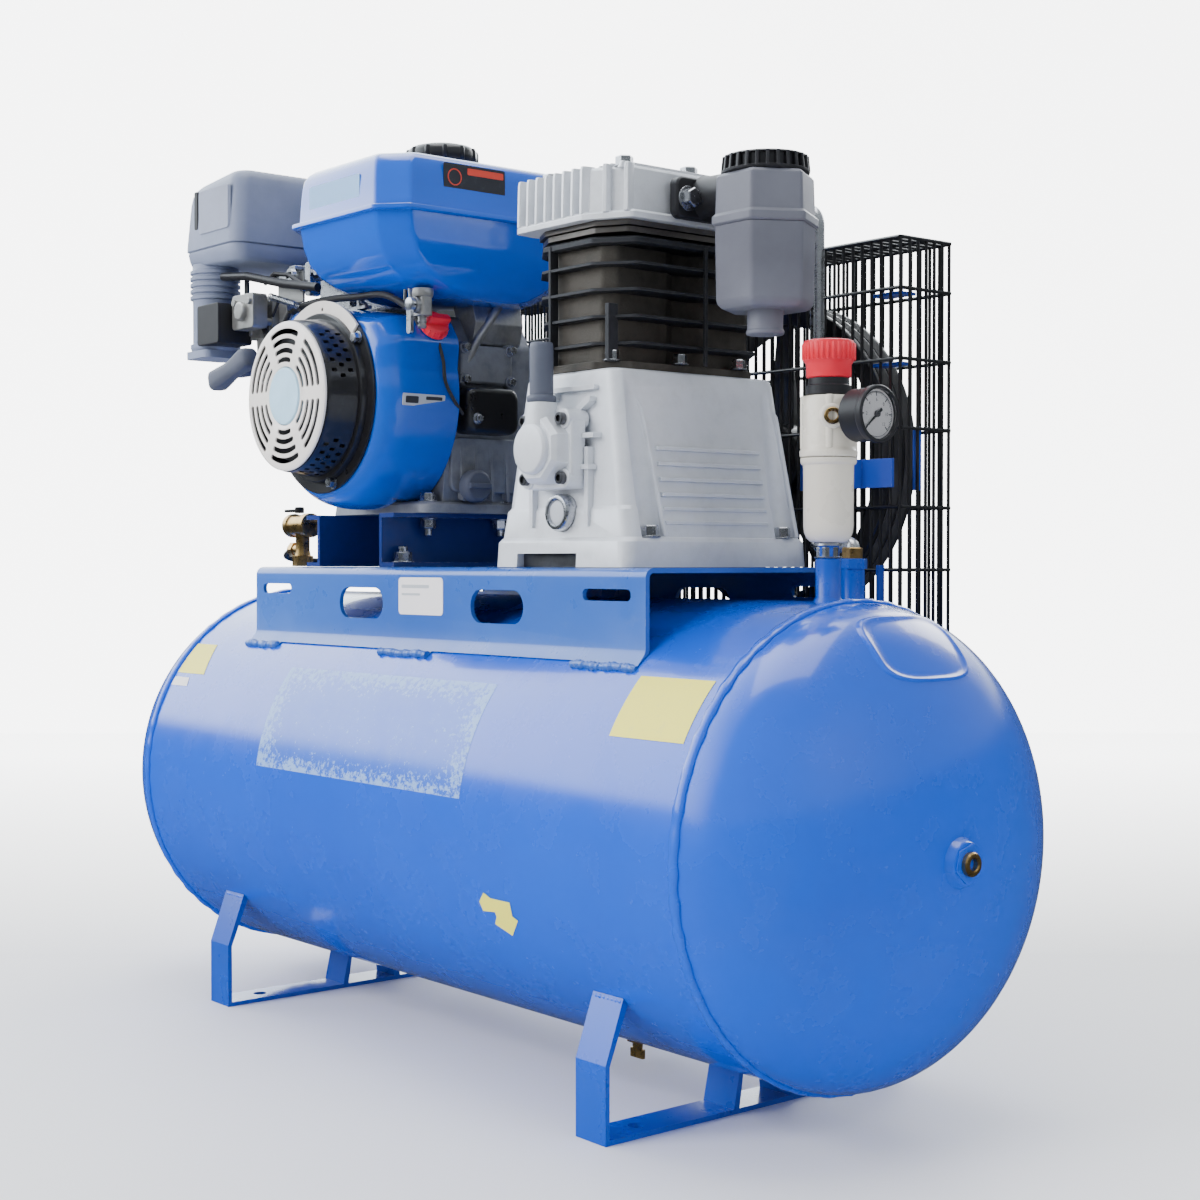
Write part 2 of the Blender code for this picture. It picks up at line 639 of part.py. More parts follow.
def flywheel():
    """Grooved rim and hub joined by five tapered spokes."""
    origin = (PUMP_X, WHEEL_MID_Y, PUMP_Z)
    hub_r, hub_bore, hub_y0 = 32, 15.3, WHEEL_Y0 - 4
    hub = lathe([(hub_y0, hub_bore), (hub_y0, hub_r), (WHEEL_Y1, hub_r), (WHEEL_Y1, hub_bore)],
                PUMP_SHAFT, "y", 24, closed=True)
    spoke = [(PUMP_X + 26, PUMP_Z - 11), (PUMP_X + 124, PUMP_Z - 8),
             (PUMP_X + 124, PUMP_Z + 8), (PUMP_X + 26, PUMP_Z + 11)]
    spokes = [turned(prism(spoke, WHEEL_Y0 + 8, WHEEL_Y1 - 8, "y"), 72 * i + 20, "Y", origin)
              for i in range(5)]
    add_part("flywheel", union(grooved_ring(FLY_R, 121, 36), hub, *spokes), BLACK, origin)


def belt_outline(offset):
    """Belt path round both wheels, `offset` outside the belt's inner face."""
    crank, pump = Vector(CRANK), Vector(PUMP_SHAFT)
    small_r, large_r = PULLEY_R - BELT_SEAT + offset, FLY_R - BELT_SEAT + offset
    line = pump - crank
    heading = math.atan2(line.y, line.x)
    wrap = math.acos((small_r - large_r) / line.length)
    outline = []
    for i in range(13):
        angle = heading + wrap + (2 * math.pi - 2 * wrap) * i / 12
        outline.append((crank.x + small_r * math.cos(angle), crank.y + small_r * math.sin(angle)))
    for i in range(25):
        angle = heading - wrap + 2 * wrap * i / 24
        outline.append((pump.x + large_r * math.cos(angle), pump.y + large_r * math.sin(angle)))
    return outline


def drive_belts():
    outer, inner = belt_outline(BELT_THICKNESS), belt_outline(0.0)
    for name, y in zip(("drive_belt_inner", "drive_belt_outer"), GROOVES_Y):
        y0, y1 = y - BELT_HALF_WIDTH, y + BELT_HALF_WIDTH
        belt = loft([(y0, outer), (y1, outer), (y1 - BELT_TAPER, inner),
                     (y0 + BELT_TAPER, inner)], "y", closed=True)
        add_part(name, belt, RUBBER)


# ---------------------------------------------------------------------- pump
CASE_Z0, CASE_Z1 = 454.0, 588.0         # bottom and top of the tapered part
HEAD_HALF_X, HEAD_HALF_Y = 65.0, 95.5


def case_outline(z, inset=0.0):
    """Plan of the tapered crankcase at height z."""
    share = (z - CASE_Z0) / (CASE_Z1 - CASE_Z0)
    return rounded(*around(PUMP_PLAN, 82 - 24 * share - inset, 95.5 - 6 * share - inset), 10)


def pump_crankcase():
    case = loft([(DECK_Z, rounded(*around(PUMP_PLAN, 87, 100.5), 10)),
                 (452, rounded(*around(PUMP_PLAN, 86.5, 100), 10)),
                 (CASE_Z0, case_outline(CASE_Z0, -2)), (477, case_outline(477, -1)),
                 (479, case_outline(479, 0.5)), (CASE_Z1, case_outline(CASE_Z1))])
    # z, half length, half width
    void_stations = [(DECK_Z - 5, 76, 85.5), (470, 74, 83.5), (579, 50, 78.5)]
    void = loft([(z, rounded(*around(PUMP_PLAN, half_x, half_y), 8))
                 for z, half_x, half_y in void_stations])
    bores = [rod(560, 600, 34.0, centre, "z", 28) for centre in CYLINDERS]
    front_hole = rod(-130, -70, 27, PUMP_SHAFT, "y", 24)
    rear_hole = rod(60, 110, 27, PUMP_SHAFT, "y", 24)
    front_slot = prism(rounded(127, 205, 425, 441, 3, 2), -125, -90, "y")
    sight_hole = rod(-120, -105, 15.0, SIGHT_GLASS, "y", 24)
    case = cut(case, void, *bores, front_hole, rear_hole, front_slot, sight_hole)
    add_part("pump_crankcase", case, ALUMINIUM)


def pump_covers():
    plate = prism(chamfered(*around(PUMP_SHAFT, 33.5, 33.5), 9, 9), -119, -108.4, "y")
    octagon = prism(circle(PUMP_SHAFT, 27.5, 8, math.pi / 8), -136, -118, "y")
    nose = lathe([(-142, 17.5), (-140.5, 19), (-135, 19)], PUMP_SHAFT, "y", 24)
    breather_boss = rod(545, 562, 12.5, BREATHER, "z", 16)
    spigot = rod(-109, -99, 26.5, PUMP_SHAFT, "y", 24)
    shaft_bore = rod(-125, -90, 15.4, PUMP_SHAFT, "y", 20)
    cover = cut(union(plate, octagon, nose, breather_boss, spigot), shaft_bore)
    add_part("pump_front_cover", cover, ALUMINIUM)

    breather = [(562.3, 10), (566, 10), (566, 9.5), (608, 9.5), (610, 8.5)]
    add_part("breather_tube", lathe(breather, BREATHER, "z", 20), PLASTIC_GREY)

    sight = [(-105.3, 14.5), (-114.5, 14.5), (-116, 13), (-116, 9.5), (-114.8, 8.5), (-114.8, 0)]
    add_part("oil_sight_glass", lathe(sight, SIGHT_GLASS, "y", 24), STEEL)

    rear = [(84.9, 40), (90, 40), (102, 30), (102, 15.4), (84.9, 15.4)]
    add_part("pump_rear_cover", lathe(rear, PUMP_SHAFT, "y", 28, closed=True), ALUMINIUM)


def cylinder_block():
    """Two finned barrels on a common foot, and the valve plate above them."""
    foot_plate = prism(chamfered(*around(PUMP_PLAN, 49, 88.5), 20, 20), CASE_Z1 + GAP, 596)
    barrels = [rod(592, 695, 42, centre, "z", 20) for centre in CYLINDERS]
    # z0, z1, inset of each fin; the last is the top flange
    fins = [(z - 1.8, z + 1.8, inset) for z, inset in ((609, 3), (630, 1), (651, 0), (672, 0))]
    fins.append((690.5, 696, 2))
    plates = [prism(chamfered(*around(PUMP_PLAN, 62 - inset, 90.5 - inset), 28, 14), z0, z1)
              for z0, z1, inset in fins]
    bores = [rod(580, 710, BORE_R, centre, "z", 28) for centre in CYLINDERS]
    add_part("cylinder_block", cut(union(foot_plate, *barrels, *plates), *bores), IRON)

    valve_plate = prism(chamfered(*around(PUMP_PLAN, 58, 86.5), 26, 14), 696.3, 706)
    add_part("valve_plate", valve_plate, STEEL)


def head_outline():
    """Octagonal plan with eight vertical ribs on the front and a step in the right chamfer."""
    x0, x1, y0, y1 = around(PUMP_PLAN, HEAD_HALF_X, HEAD_HALF_Y)
    cut_x, cut_y, ribs, rib_depth = 17.0, 28.0, 8, 9
    pitch = (x1 - x0 - 2 * cut_x) / ribs
    outline = []
    for i in range(ribs):
        x = x0 + cut_x + i * pitch
        outline += [(x + pitch * 0.06, y0 + rib_depth), (x + pitch * 0.30, y0),
                    (x + pitch * 0.62, y0), (x + pitch * 0.86, y0 + rib_depth)]
    outline += [(x1 - cut_x, y0 + 4), (x1 - cut_x * 0.62, y0 + cut_y * 0.30),
                (x1 - cut_x * 0.55, y0 + cut_y * 0.62), (x1 - 2, y0 + cut_y * 0.7),
                (x1, y0 + cut_y), (x1, y1 - cut_y), (x1 - cut_x, y1),
                (x0 + cut_x, y1), (x0, y1 - cut_y), (x0, y0 + cut_y), (x0 + cut_x, y0 + 4)]
    return outline


def cylinder_head():
    flange = prism(chamfered(*around(PUMP_PLAN, HEAD_HALF_X + 2, HEAD_HALF_Y + 2), 18, 28),
                   706.3, 711.5)
    top_ribs = [box(124 + 14.5 * i, 128 + 14.5 * i, -92, 69, 747, 751.5) for i in range(8)]
    head = union(prism(head_outline(), 710, 748), flange, *top_ribs)
    add_part("cylinder_head", head, ALUMINIUM)


def air_filter():
    """Intake flange on the right of the head, hexagonal filter body and notched lid."""
    x, y = 321.0, -16.0
    intake = union(prism(rounded(-42, 10, 710, 744, 6, 2), 247.3, 256, "x"),
                   rod(255, 280, 17, (y, 727), "x", 20))
    add_part("intake_flange", intake, BLACK)

    corner_r = 40.5
    # z, corner radius
    stations = [(631, corner_r - 5), (636, corner_r), (695, corner_r), (697, corner_r + 2),
                (702, corner_r + 2), (704, corner_r - 1), (735, corner_r - 1)]
    body = loft([(z, circle((x, y), radius, 6)) for z, radius in stations])
    add_part("air_filter_body", union(body, rod(612, 632, 14, (x, y), "z", 16)), PLASTIC_GREY)

    origin = (x, y, 740)
    lid = lathe([(735.3, 34.5), (747, 34.5), (750, 31.5), (750, 0)], (x, y), "z", 24)
    notches = [turned(box(x + 25, x + 40, y - 2.2, y + 2.2, 738, 755), 30 * i, "Z", origin)
               for i in range(12)]
    add_part("air_filter_lid", cut(lid, *notches), BLACK, origin)


def pump_crankshaft():
    """Two opposed throws, up at the front and down at the rear."""
    journal_r, throw_half, web_t = 15, 22, 9
    web = rounded(*around(PUMP_SHAFT, 20, 36), 10)
    parts = []
    for side, (_, y) in zip((-1, 1), CYLINDERS):
        y0, y1 = y - throw_half, y + throw_half
        pin_centre = (PUMP_X, PUMP_Z - side * STROKE / 2)
        parts += [prism(web, y0, y0 + web_t, "y"), prism(web, y1 - web_t, y1, "y"),
                  rod(y0 + 4, y1 - 4, 11, pin_centre, "y", 16)]
    parts.append(rod(PUMP_Y - 25, PUMP_Y + 25, journal_r, PUMP_SHAFT, "y", 20))
    parts.append(lathe([(PUMP_Y + BORE_PITCH / 2 + 15, journal_r), (169, journal_r),
                        (171, 13.5)], PUMP_SHAFT, "y", 20))
    front_end = rod(-124, -70, journal_r, PUMP_SHAFT, "y", 20)
    add_part("pump_crankshaft", union(front_end, *parts), STEEL, (PUMP_X, WHEEL_MID_Y, PUMP_Z))


def pistons():
    """Pistons, each with a tapered rod below."""
    for name, centre in zip(("piston_front", "piston_rear"), CYLINDERS):
        crown = lathe([(638, PISTON_R), (664, PISTON_R), (666, PISTON_R - 1.5), (666, 0)],
                      centre, "z", 28)
        connecting_rod = loft([(594, rounded(*around(centre, 8, 5), 3, 2)),
                               (640, rounded(*around(centre, 10, 6), 3, 2))])
        add_part(name, union(crown, connecting_rod), ALUMINIUM, (*centre, 650))


# ---------------------------------------------------------------- belt guard
GUARD_X0, GUARD_X1 = -246.0, 338.0
GUARD_Y0, GUARD_Y1 = 122.0, 186.0
GUARD_Z0, GUARD_Z1 = 368.0, 703.0
WIRE = 3.0                   # square wire
GUARD_BARS_X = [GUARD_X0 + (GUARD_X1 - GUARD_X0 - WIRE) * i / 9 for i in range(10)]
GUARD_BARS_Y = [GUARD_Y0, (GUARD_Y0 + GUARD_Y1) / 2 - WIRE / 2, GUARD_Y1 - WIRE]
GUARD_BARS_Z = [GUARD_Z0, 428.0, 480.0, 545.0, 602.0, 660.0, GUARD_Z1 - WIRE]

# step to the neighbouring cell, corners of the face towards it
CELL_FACES = [
    ((-1, 0, 0), ((0, 0, 0), (0, 0, 1), (0, 1, 1), (0, 1, 0))),
    ((1, 0, 0), ((1, 0, 0), (1, 1, 0), (1, 1, 1), (1, 0, 1))),
    ((0, -1, 0), ((0, 0, 0), (1, 0, 0), (1, 0, 1), (0, 0, 1))),
    ((0, 1, 0), ((0, 1, 0), (0, 1, 1), (1, 1, 1), (1, 1, 0))),
    ((0, 0, -1), ((0, 0, 0), (0, 1, 0), (1, 1, 0), (1, 0, 0))),
    ((0, 0, 1), ((0, 0, 1), (1, 0, 1), (1, 1, 1), (0, 1, 1))),
]


def lattice(xs, ys, zs, solid):
    """Closed mesh of the solid cells of an uneven grid."""
    bm = bmesh.new()
    verts = {}
    nx, ny, nz = len(xs) - 1, len(ys) - 1, len(zs) - 1

    def vert(i, j, k):
        if (i, j, k) not in verts:
            verts[i, j, k] = bm.verts.new((xs[i], ys[j], zs[k]))
        return verts[i, j, k]

    def full(i, j, k):
        return 0 <= i < nx and 0 <= j < ny and 0 <= k < nz and solid(i, j, k)

    cells = [(i, j, k) for i in range(nx) for j in range(ny) for k in range(nz)]
    for i, j, k in cells:
        if not full(i, j, k):
            continue
        for (di, dj, dk), corners in CELL_FACES:
            if not full(i + di, j + dj, k + dk):
                bm.faces.new([vert(i + a, j + b, k + c) for a, b, c in corners])
    return bm


def belt_guard():
    """Wire cage: front and rear grids, wires between them and a middle frame."""
    xs, ys, zs = [[edge for bar in bars for edge in (bar, bar + WIRE)]
                  for bars in (GUARD_BARS_X, GUARD_BARS_Y, GUARD_BARS_Z)]

    def is_wire(i, j, k):
        # even cells lie on a bar, odd ones between bars
        bar_x, bar_z = i % 2 == 0, k % 2 == 0
        edge_x = i in (0, len(xs) - 2)
        edge_z = k in (0, len(zs) - 2)
        if j == 0 and i == 3 and k == 8:
            # one length of crossbar is left out by the engine shaft
            return False
        if j in (0, 4):
            return bar_x or bar_z
        if j == 2:
            return edge_x or (edge_z and bar_x)
        return (edge_x and bar_z) or (edge_z and bar_x)

    add_part("belt_guard", lattice(xs, ys, zs, is_wire), BLACK)


# --------------------------------------------------------- service fittings
REG_X, REG_Y = 372.0, 2.0
REGULATOR = (REG_X, REG_Y)
GAUGE_Z = 545.0
GAUGE_X = REG_X + 27.3       # back of the pressure gauge
GAUGE_AXIS = (REG_Y, GAUGE_Z)
CHECK_X, CHECK_Y = 343.0, 60.0
CHECK_VALVE = (CHECK_X, CHECK_Y)
STUB_R = 9.7                 # pipe stubs standing on the receiver


def tank_stub(centre, top):
    """Upright stub that starts inside the receiver's top."""
    reach = abs(centre[1]) + STUB_R
    surface_z = TANK_Z + math.sqrt(TANK_R ** 2 - reach * reach)
    return rod(surface_z - 8, top, STUB_R, centre, "z", 20)


def tank_clearance():
    """Cutter that trims a stub to the outside of the receiver."""
    return rod(-400, 402, TANK_R + GAP, TANK_AXIS, "x", 96)


def regulator():
    riser = union(tank_stub(REGULATOR, 437.0), rod(436.5, 449.2, 8.2, REGULATOR, "z", 16))
    add_part("regulator_riser", cut(riser, tank_clearance()), BLUE)

    bowl = [(449.5, 12), (451, 16), (456, 19.0), (510, 19.4), (511.5, 21), (514, 21)]
    add_part("regulator_bowl", lathe(bowl, REGULATOR, "z", 24), CREAM)

    barrel = [(514.3, 21.5), (520, 21.5), (522, 20.3), (560, 20.3), (562, 19)]
    body = union(lathe(barrel, REGULATOR, "z", 24),
                 rod(REG_X + 15, REG_X + 27, 10, GAUGE_AXIS, "x", 16),
                 lathe([(560, 16.5), (574.7, 16.0)], REGULATOR, "z", 20))
    add_part("regulator_body", body, CREAM)

    knob = [(575.0, 16.5), (586, 17), (588, 19.3), (601, 19.8), (604, 18.0), (604, 0)]
    add_part("regulator_knob", lathe(knob, REGULATOR, "z", 24), RED, (REG_X, REG_Y, 585))


def gauge():
    """Pressure gauge on the right of the regulator, its dial facing +X."""
    x = GAUGE_X
    case = lathe([(x, 20.0), (x + 22, 21.5), (x + 25, 21.5)], GAUGE_AXIS, "x", 28)
    recess = rod(x + 21, x + 30, 18.5, GAUGE_AXIS, "x", 28)
    add_part("gauge_case", cut(case, recess), BLACK)

    pointer = prism([(REG_Y - 1.2, GAUGE_Z - 6), (REG_Y + 1.2, GAUGE_Z - 6),
                     (REG_Y + 0.5, GAUGE_Z + 15), (REG_Y - 0.5, GAUGE_Z + 15)],
                    x + 21.8, x + 22.8, "x")
    needle = union(rod(x + 21.3, x + 23.4, 2.4, GAUGE_AXIS, "x", 12),
                   turned(pointer, 130, "X", (x, REG_Y, GAUGE_Z)))
    add_part("gauge_needle", needle, BLACK, (x + 22, REG_Y, GAUGE_Z))


def discharge_line():
    """Check valve on the receiver and the pipe to it from the rear of the head."""
    valve = union(tank_stub(CHECK_VALVE, 430.0), prism(circle(CHECK_VALVE, 11.5, 6), 429, 437))
    add_part("check_valve", cut(valve, tank_clearance()), BLUE)

    path = [(205, 84.4, 731), (205, 103, 731), (262, 103, 731), (262, 103, 448),
            (CHECK_X, CHECK_Y, 448), (CHECK_X, CHECK_Y, 437.4)]
    add_part("discharge_pipe", tube(fillet_path(path, 12, 4), 6.0), STEEL)


def drain_valve():
    """Drain under the receiver with its wing screw."""
    centre = (DRAIN_X, 0)
    body = union(lathe([(26, 6.5), (38, 6.5), (38, 0)], centre, "z", 16),
                 prism(circle(centre, 9.5, 6), 22.5, 30))
    add_part("drain_valve", body, BRASS)
    screw = union(rod(14, 22.2, 4.5, centre, "z", 12),
                  box(DRAIN_X - 8, DRAIN_X + 8, -1.6, 1.6, 8, 16))
    add_part("drain_valve_screw", screw, BRASS, (*centre, 22.0))


def unloader():
    """Unloader valve on the plate, left of the engine, with a flat lever on top."""
    x, y = -262.0, -86.0
    valve = union(prism(circle((x, y), 10.5, 6), DECK_Z, 441),
                  rod(440, 466, 8, (x, y), "z", 16),
                  rod(x - 22, x, 6, (y, 447), "x", 14),
                  rod(x - 22, x + 18, 12, (y, 471), "x", 20))
    add_part("unloader_valve", valve, BRASS)

    pivot_x = x - 6.0
    lever = union(rod(483.4, 489, 4.5, (pivot_x, y), "z", 12),
                  box(x - 30, x - 2, y - 4, y + 4, 484.5, 487.5))
    add_part("unloader_lever", lever, BLACK, (pivot_x, y, 485.0))


# -------------------------------------------------------------------- build
for scene_object in list(bpy.data.objects):
    bpy.data.objects.remove(scene_object, do_unlink=True)

receiver()
tank_port()
foot("foot_left", -FOOT_X)
foot("foot_right", FOOT_X)
platform_plate()
engine_rail("engine_rail_left", RAIL_LEFT_X, -1)
engine_rail("engine_rail_right", RAIL_RIGHT_X, 1)
for build in (engine_crankcase, engine_cylinder, fan_shroud, recoil_starter, recoil_handle,
              fuel_tank, air_cleaner, carburettor, fuel_tap, engine_switch,
              crankcase_fittings, muffler, engine_pulley,
              pump_crankcase, pump_covers, cylinder_block, cylinder_head, air_filter,
              pump_crankshaft, flywheel, pistons, drive_belts, belt_guard,
              regulator, gauge, discharge_line, drain_valve, unloader):
    build()
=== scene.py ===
"""Looks for a belt-driven petrol air compressor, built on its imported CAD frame.

The receiver lies along X. On its deck the engine stands at -X and the two-cylinder pump at +X.
The front is -Y, where the recoil starter is; the belt drive and its guard are on the +Y side.
Lengths are millimetres until piece() scales them; the stage at the end is in metres.
"""
import math
import random
from itertools import product
import bpy
import bmesh
from mathutils import Vector, Matrix


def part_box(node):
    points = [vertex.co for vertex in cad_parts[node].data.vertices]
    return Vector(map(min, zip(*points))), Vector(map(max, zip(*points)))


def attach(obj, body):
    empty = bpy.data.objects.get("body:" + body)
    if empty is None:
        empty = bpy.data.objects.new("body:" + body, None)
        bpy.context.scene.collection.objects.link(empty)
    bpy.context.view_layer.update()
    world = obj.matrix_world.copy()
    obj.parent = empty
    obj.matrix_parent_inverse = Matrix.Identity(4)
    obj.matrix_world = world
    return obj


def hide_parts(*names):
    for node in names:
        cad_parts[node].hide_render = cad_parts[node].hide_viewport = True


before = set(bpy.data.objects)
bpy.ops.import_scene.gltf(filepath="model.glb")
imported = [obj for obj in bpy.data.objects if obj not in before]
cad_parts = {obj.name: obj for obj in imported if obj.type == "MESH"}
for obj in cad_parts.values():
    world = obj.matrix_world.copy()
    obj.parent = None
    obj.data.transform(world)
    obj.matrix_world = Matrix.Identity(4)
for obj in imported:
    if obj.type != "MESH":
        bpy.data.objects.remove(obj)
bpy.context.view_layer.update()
MM = 0.001
COLL = bpy.context.scene.collection
ROOT = "compressor_frame"


def centre_mm(node):
    """Centre of a frame node's box."""
    return [(low + high) / 2 / MM for low, high in zip(*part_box(node))]


barrel_lo, barrel_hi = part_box("tank_barrel")
TANK_R = round((barrel_hi.z - barrel_lo.z) / 2 / MM, 1)
TANK_Z = (barrel_hi.z + barrel_lo.z) / 2 / MM
SEAM = barrel_hi.x / MM                     # where the barrel meets each dished head
TANK_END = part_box("tank_head_left")[0].x / -MM
HEAD_DEPTH = TANK_END - SEAM
TANK_WALL = 3
CRANK_X, _, CRANK_Z = centre_mm("engine_pulley_shaft")
REG_X, REG_Y, _ = centre_mm("regulator_knob")
PUMP_X, PUMP_Y, PUMP_Z = 180.0, -11.5, 524.7    # middle of the bores, crank height
BORE_PITCH = 90.0
UP, FRONT, BACK, RIGHT = (0, 0, 1), (0, -1, 0), (0, 1, 0), (1, 0, 0)
SIDES = ((-1, "left"), (1, "right"))        # along X
FACES = ((-1, "front"), (1, "rear"))        # along Y


# ------------------------------------------------------------------ materials
class Graph:
    """Builds the node tree of a material or world."""

    def __init__(self, owner):
        owner.use_nodes = True
        self.owner = owner
        self.tree = owner.node_tree
        self.bsdf = self.tree.nodes.get("Principled BSDF")

    def add(self, kind, **attributes):
        node = self.tree.nodes.new(kind)
        for key, value in attributes.items():
            setattr(node, key, value)
        return node

    def feed(self, value, socket):
        """Link an output to the socket, or set its value; an RGB triple gains an alpha."""
        if isinstance(value, bpy.types.NodeSocket):
            self.tree.links.new(value, socket)
        elif isinstance(value, tuple) and len(value) == 3:
            socket.default_value = (*value, 1.0)
        else:
            socket.default_value = value

    def set(self, **inputs):
        """Feed inputs of the Principled BSDF; underscores stand for spaces."""
        for key, value in inputs.items():
            self.feed(value, self.bsdf.inputs[key.replace("_", " ")])

    def coord(self, output="Object"):
        return self.add("ShaderNodeTexCoord").outputs[output]

    def axes(self, vector):
        split = self.add("ShaderNodeSeparateXYZ")
        self.feed(vector, split.inputs[0])
        return split.outputs

    def noise(self, scale, detail=4.0, rough=0.55, vector=None):
        node = self.add("ShaderNodeTexNoise")
        node.inputs["Scale"].default_value = scale
        node.inputs["Detail"].default_value = detail
        node.inputs["Roughness"].default_value = rough
        self.feed(vector or self.coord(), node.inputs["Vector"])
        return node.outputs["Fac"]

    def ramp(self, factor, low, high):
        """Two-stop colour ramp; each stop is (position, rgb)."""
        node = self.add("ShaderNodeValToRGB")
        for element, (position, rgb) in zip(node.color_ramp.elements, (low, high)):
            element.position = position
            element.color = (*rgb, 1.0)
        self.feed(factor, node.inputs["Fac"])
        return node.outputs["Color"]

    def mix(self, factor, first, second):
        node = self.add("ShaderNodeMix", data_type="RGBA")
        for value, index in ((factor, 0), (first, 6), (second, 7)):
            self.feed(value, node.inputs[index])
        return node.outputs[2]

    def math(self, operation, *values):
        node = self.add("ShaderNodeMath", operation=operation)
        for value, socket in zip(values, node.inputs):
            self.feed(value, socket)
        return node.outputs[0]

    def remap(self, value, source, target):
        """Map the source range (low, high) onto the target range."""
        node = self.add("ShaderNodeMapRange")
        for index, item in enumerate((value, *source, *target)):
            self.feed(item, node.inputs[index])
        return node.outputs[0]

    def bump(self, height, strength, distance):
        node = self.add("ShaderNodeBump")
        node.inputs["Strength"].default_value = strength
        node.inputs["Distance"].default_value = distance
        self.feed(height, node.inputs["Height"])
        self.set(Normal=node.outputs["Normal"])

    def edge(self, radius):
        """0 on flats, rising to 1 on convex and concave edges."""
        bevel = self.add("ShaderNodeBevel", samples=4)
        bevel.inputs["Radius"].default_value = radius
        geometry = self.add("ShaderNodeNewGeometry")
        dot = self.add("ShaderNodeVectorMath", operation="DOT_PRODUCT")
        self.feed(bevel.outputs["Normal"], dot.inputs[0])
        self.feed(geometry.outputs["True Normal"], dot.inputs[1])
        return self.remap(dot.outputs["Value"], (1.0, 0.80), (0.0, 1.0))


def new_material(name):
    return Graph(bpy.data.materials.new(name))


def tint(rgb, gain, lift=0.0):
    return tuple(min(1.0, channel * gain + lift) for channel in rgb)


MIDDLE = (0.3, 0.7)     # the range that noise mostly fills


def paint(name, rgb, rough=0.25, peel=0.06, coat=0.6, dust=0.25, shade=None, wear=0.0,
          under=(0.35, 0.36, 0.38)):
    """Sprayed enamel with orange peel, slight tone change, dust and chipped edges."""
    graph = new_material(name)
    tone = graph.noise(scale=3.5, detail=3.0)
    colour = graph.ramp(tone, (0.30, shade or tint(rgb, 0.72)), (0.62, rgb))
    specks = graph.noise(scale=38.0, detail=8.0, rough=0.72)
    dust_mask = graph.remap(specks, (0.60, 0.80), (0.0, dust))
    colour = graph.mix(dust_mask, colour, tint(rgb, 0.6, lift=0.16))
    if wear > 0:
        chips = graph.remap(graph.noise(scale=160.0, detail=6.0, rough=0.7),
                            (0.52, 0.60), (0.0, wear))
        colour = graph.mix(graph.math("MULTIPLY", graph.edge(radius=0.0012), chips), colour, under)
    smears = graph.noise(scale=24.0, detail=5.0, rough=0.6)
    graph.set(Base_Color=colour, Roughness=graph.remap(smears, MIDDLE, (rough * 0.8, rough * 1.35)),
              Coat_Weight=coat, Coat_Roughness=0.08)
    graph.bump(graph.noise(scale=420.0, detail=2.0), strength=peel, distance=0.0004)
    return graph.owner


def cast(name, rgb, rough=0.42, metallic=0.85, grain=0.35, stain=0.35, scale=900.0,
         painted_edge_highlight=0.35):
    """Sand-cast metal: fine grain, soft staining in the low spots, painted highlights on the edges.
    """
    graph = new_material(name)
    sand = graph.noise(scale=scale, detail=3.0, rough=0.7)
    mottle = graph.noise(scale=60.0, detail=6.0, rough=0.65)
    colour = graph.ramp(mottle, (0.25, tint(rgb, 1 - stain)), (0.55, rgb))
    # painted highlight: the edges are lightened in the base colour
    light = graph.math("MULTIPLY", graph.edge(radius=0.0015), painted_edge_highlight)
    colour = graph.mix(light, colour, tint(rgb, 1.25, lift=0.05))
    graph.set(Base_Color=colour, Metallic=metallic,
              Roughness=graph.remap(mottle, MIDDLE, (rough * 0.85, min(1.0, rough * 1.25))))
    height = graph.math("ADD", sand, graph.math("MULTIPLY", mottle, 0.6))
    graph.bump(height, strength=grain, distance=0.0005)
    return graph.owner


def plastic(name, rgb, rough=0.45, grain=0.10, fade=0.15):
    """Moulded plastic with a fine spark-erosion grain and painted highlights on the edges."""
    graph = new_material(name)
    tone = graph.noise(scale=16.0, detail=5.0, rough=0.6)
    colour = graph.ramp(tone, (0.3, tint(rgb, 1 - fade)), (0.7, tint(rgb, 1 + fade)))
    # painted highlight: the edges are lightened in the base colour
    light = graph.math("MULTIPLY", graph.edge(radius=0.001), 0.25)
    graph.set(Base_Color=graph.mix(light, colour, tint(rgb, 1.3, lift=0.04)),
              Roughness=graph.remap(tone, MIDDLE, (rough * 0.85, rough * 1.2)))
    erosion = graph.noise(scale=1500.0, detail=2.0, rough=0.6)
    graph.bump(erosion, strength=grain, distance=0.0003)
    return graph.owner


def metal(name, rgb, rough=0.25, brush=0.25, spots=0.2):
    """Machined or plated metal with faint tool marks and oxide spots."""
    graph = new_material(name)
    stretch = graph.add("ShaderNodeMapping")
    stretch.inputs["Scale"].default_value = (40.0, 40.0, 1200.0)
    graph.feed(graph.coord(), stretch.inputs["Vector"])
    marks = graph.noise(scale=1.0, detail=4.0, rough=0.6, vector=stretch.outputs["Vector"])
    oxide = graph.noise(scale=130.0, detail=6.0, rough=0.7)
    graph.set(Base_Color=graph.ramp(oxide, (0.32, tint(rgb, 1 - spots)), (0.6, rgb)), Metallic=1.0,
              Roughness=graph.remap(oxide, MIDDLE, (rough * 0.75, rough * 1.4)))
    graph.bump(marks, strength=brush, distance=0.0002)
    return graph.owner


def rubber(name, rgb=(0.014, 0.014, 0.015), rough=0.72):
    graph = new_material(name)
    tone = graph.noise(scale=30.0, detail=5.0, rough=0.6)
    graph.set(Base_Color=graph.ramp(tone, (0.3, rgb), (0.75, tint(rgb, 2.6, lift=0.006))),
              Roughness=graph.remap(tone, MIDDLE, (rough * 0.9, min(1, rough * 1.15))))
    grain = graph.noise(scale=600.0, detail=4.0, rough=0.65)
    graph.bump(grain, strength=0.3, distance=0.0004)
    return graph.owner


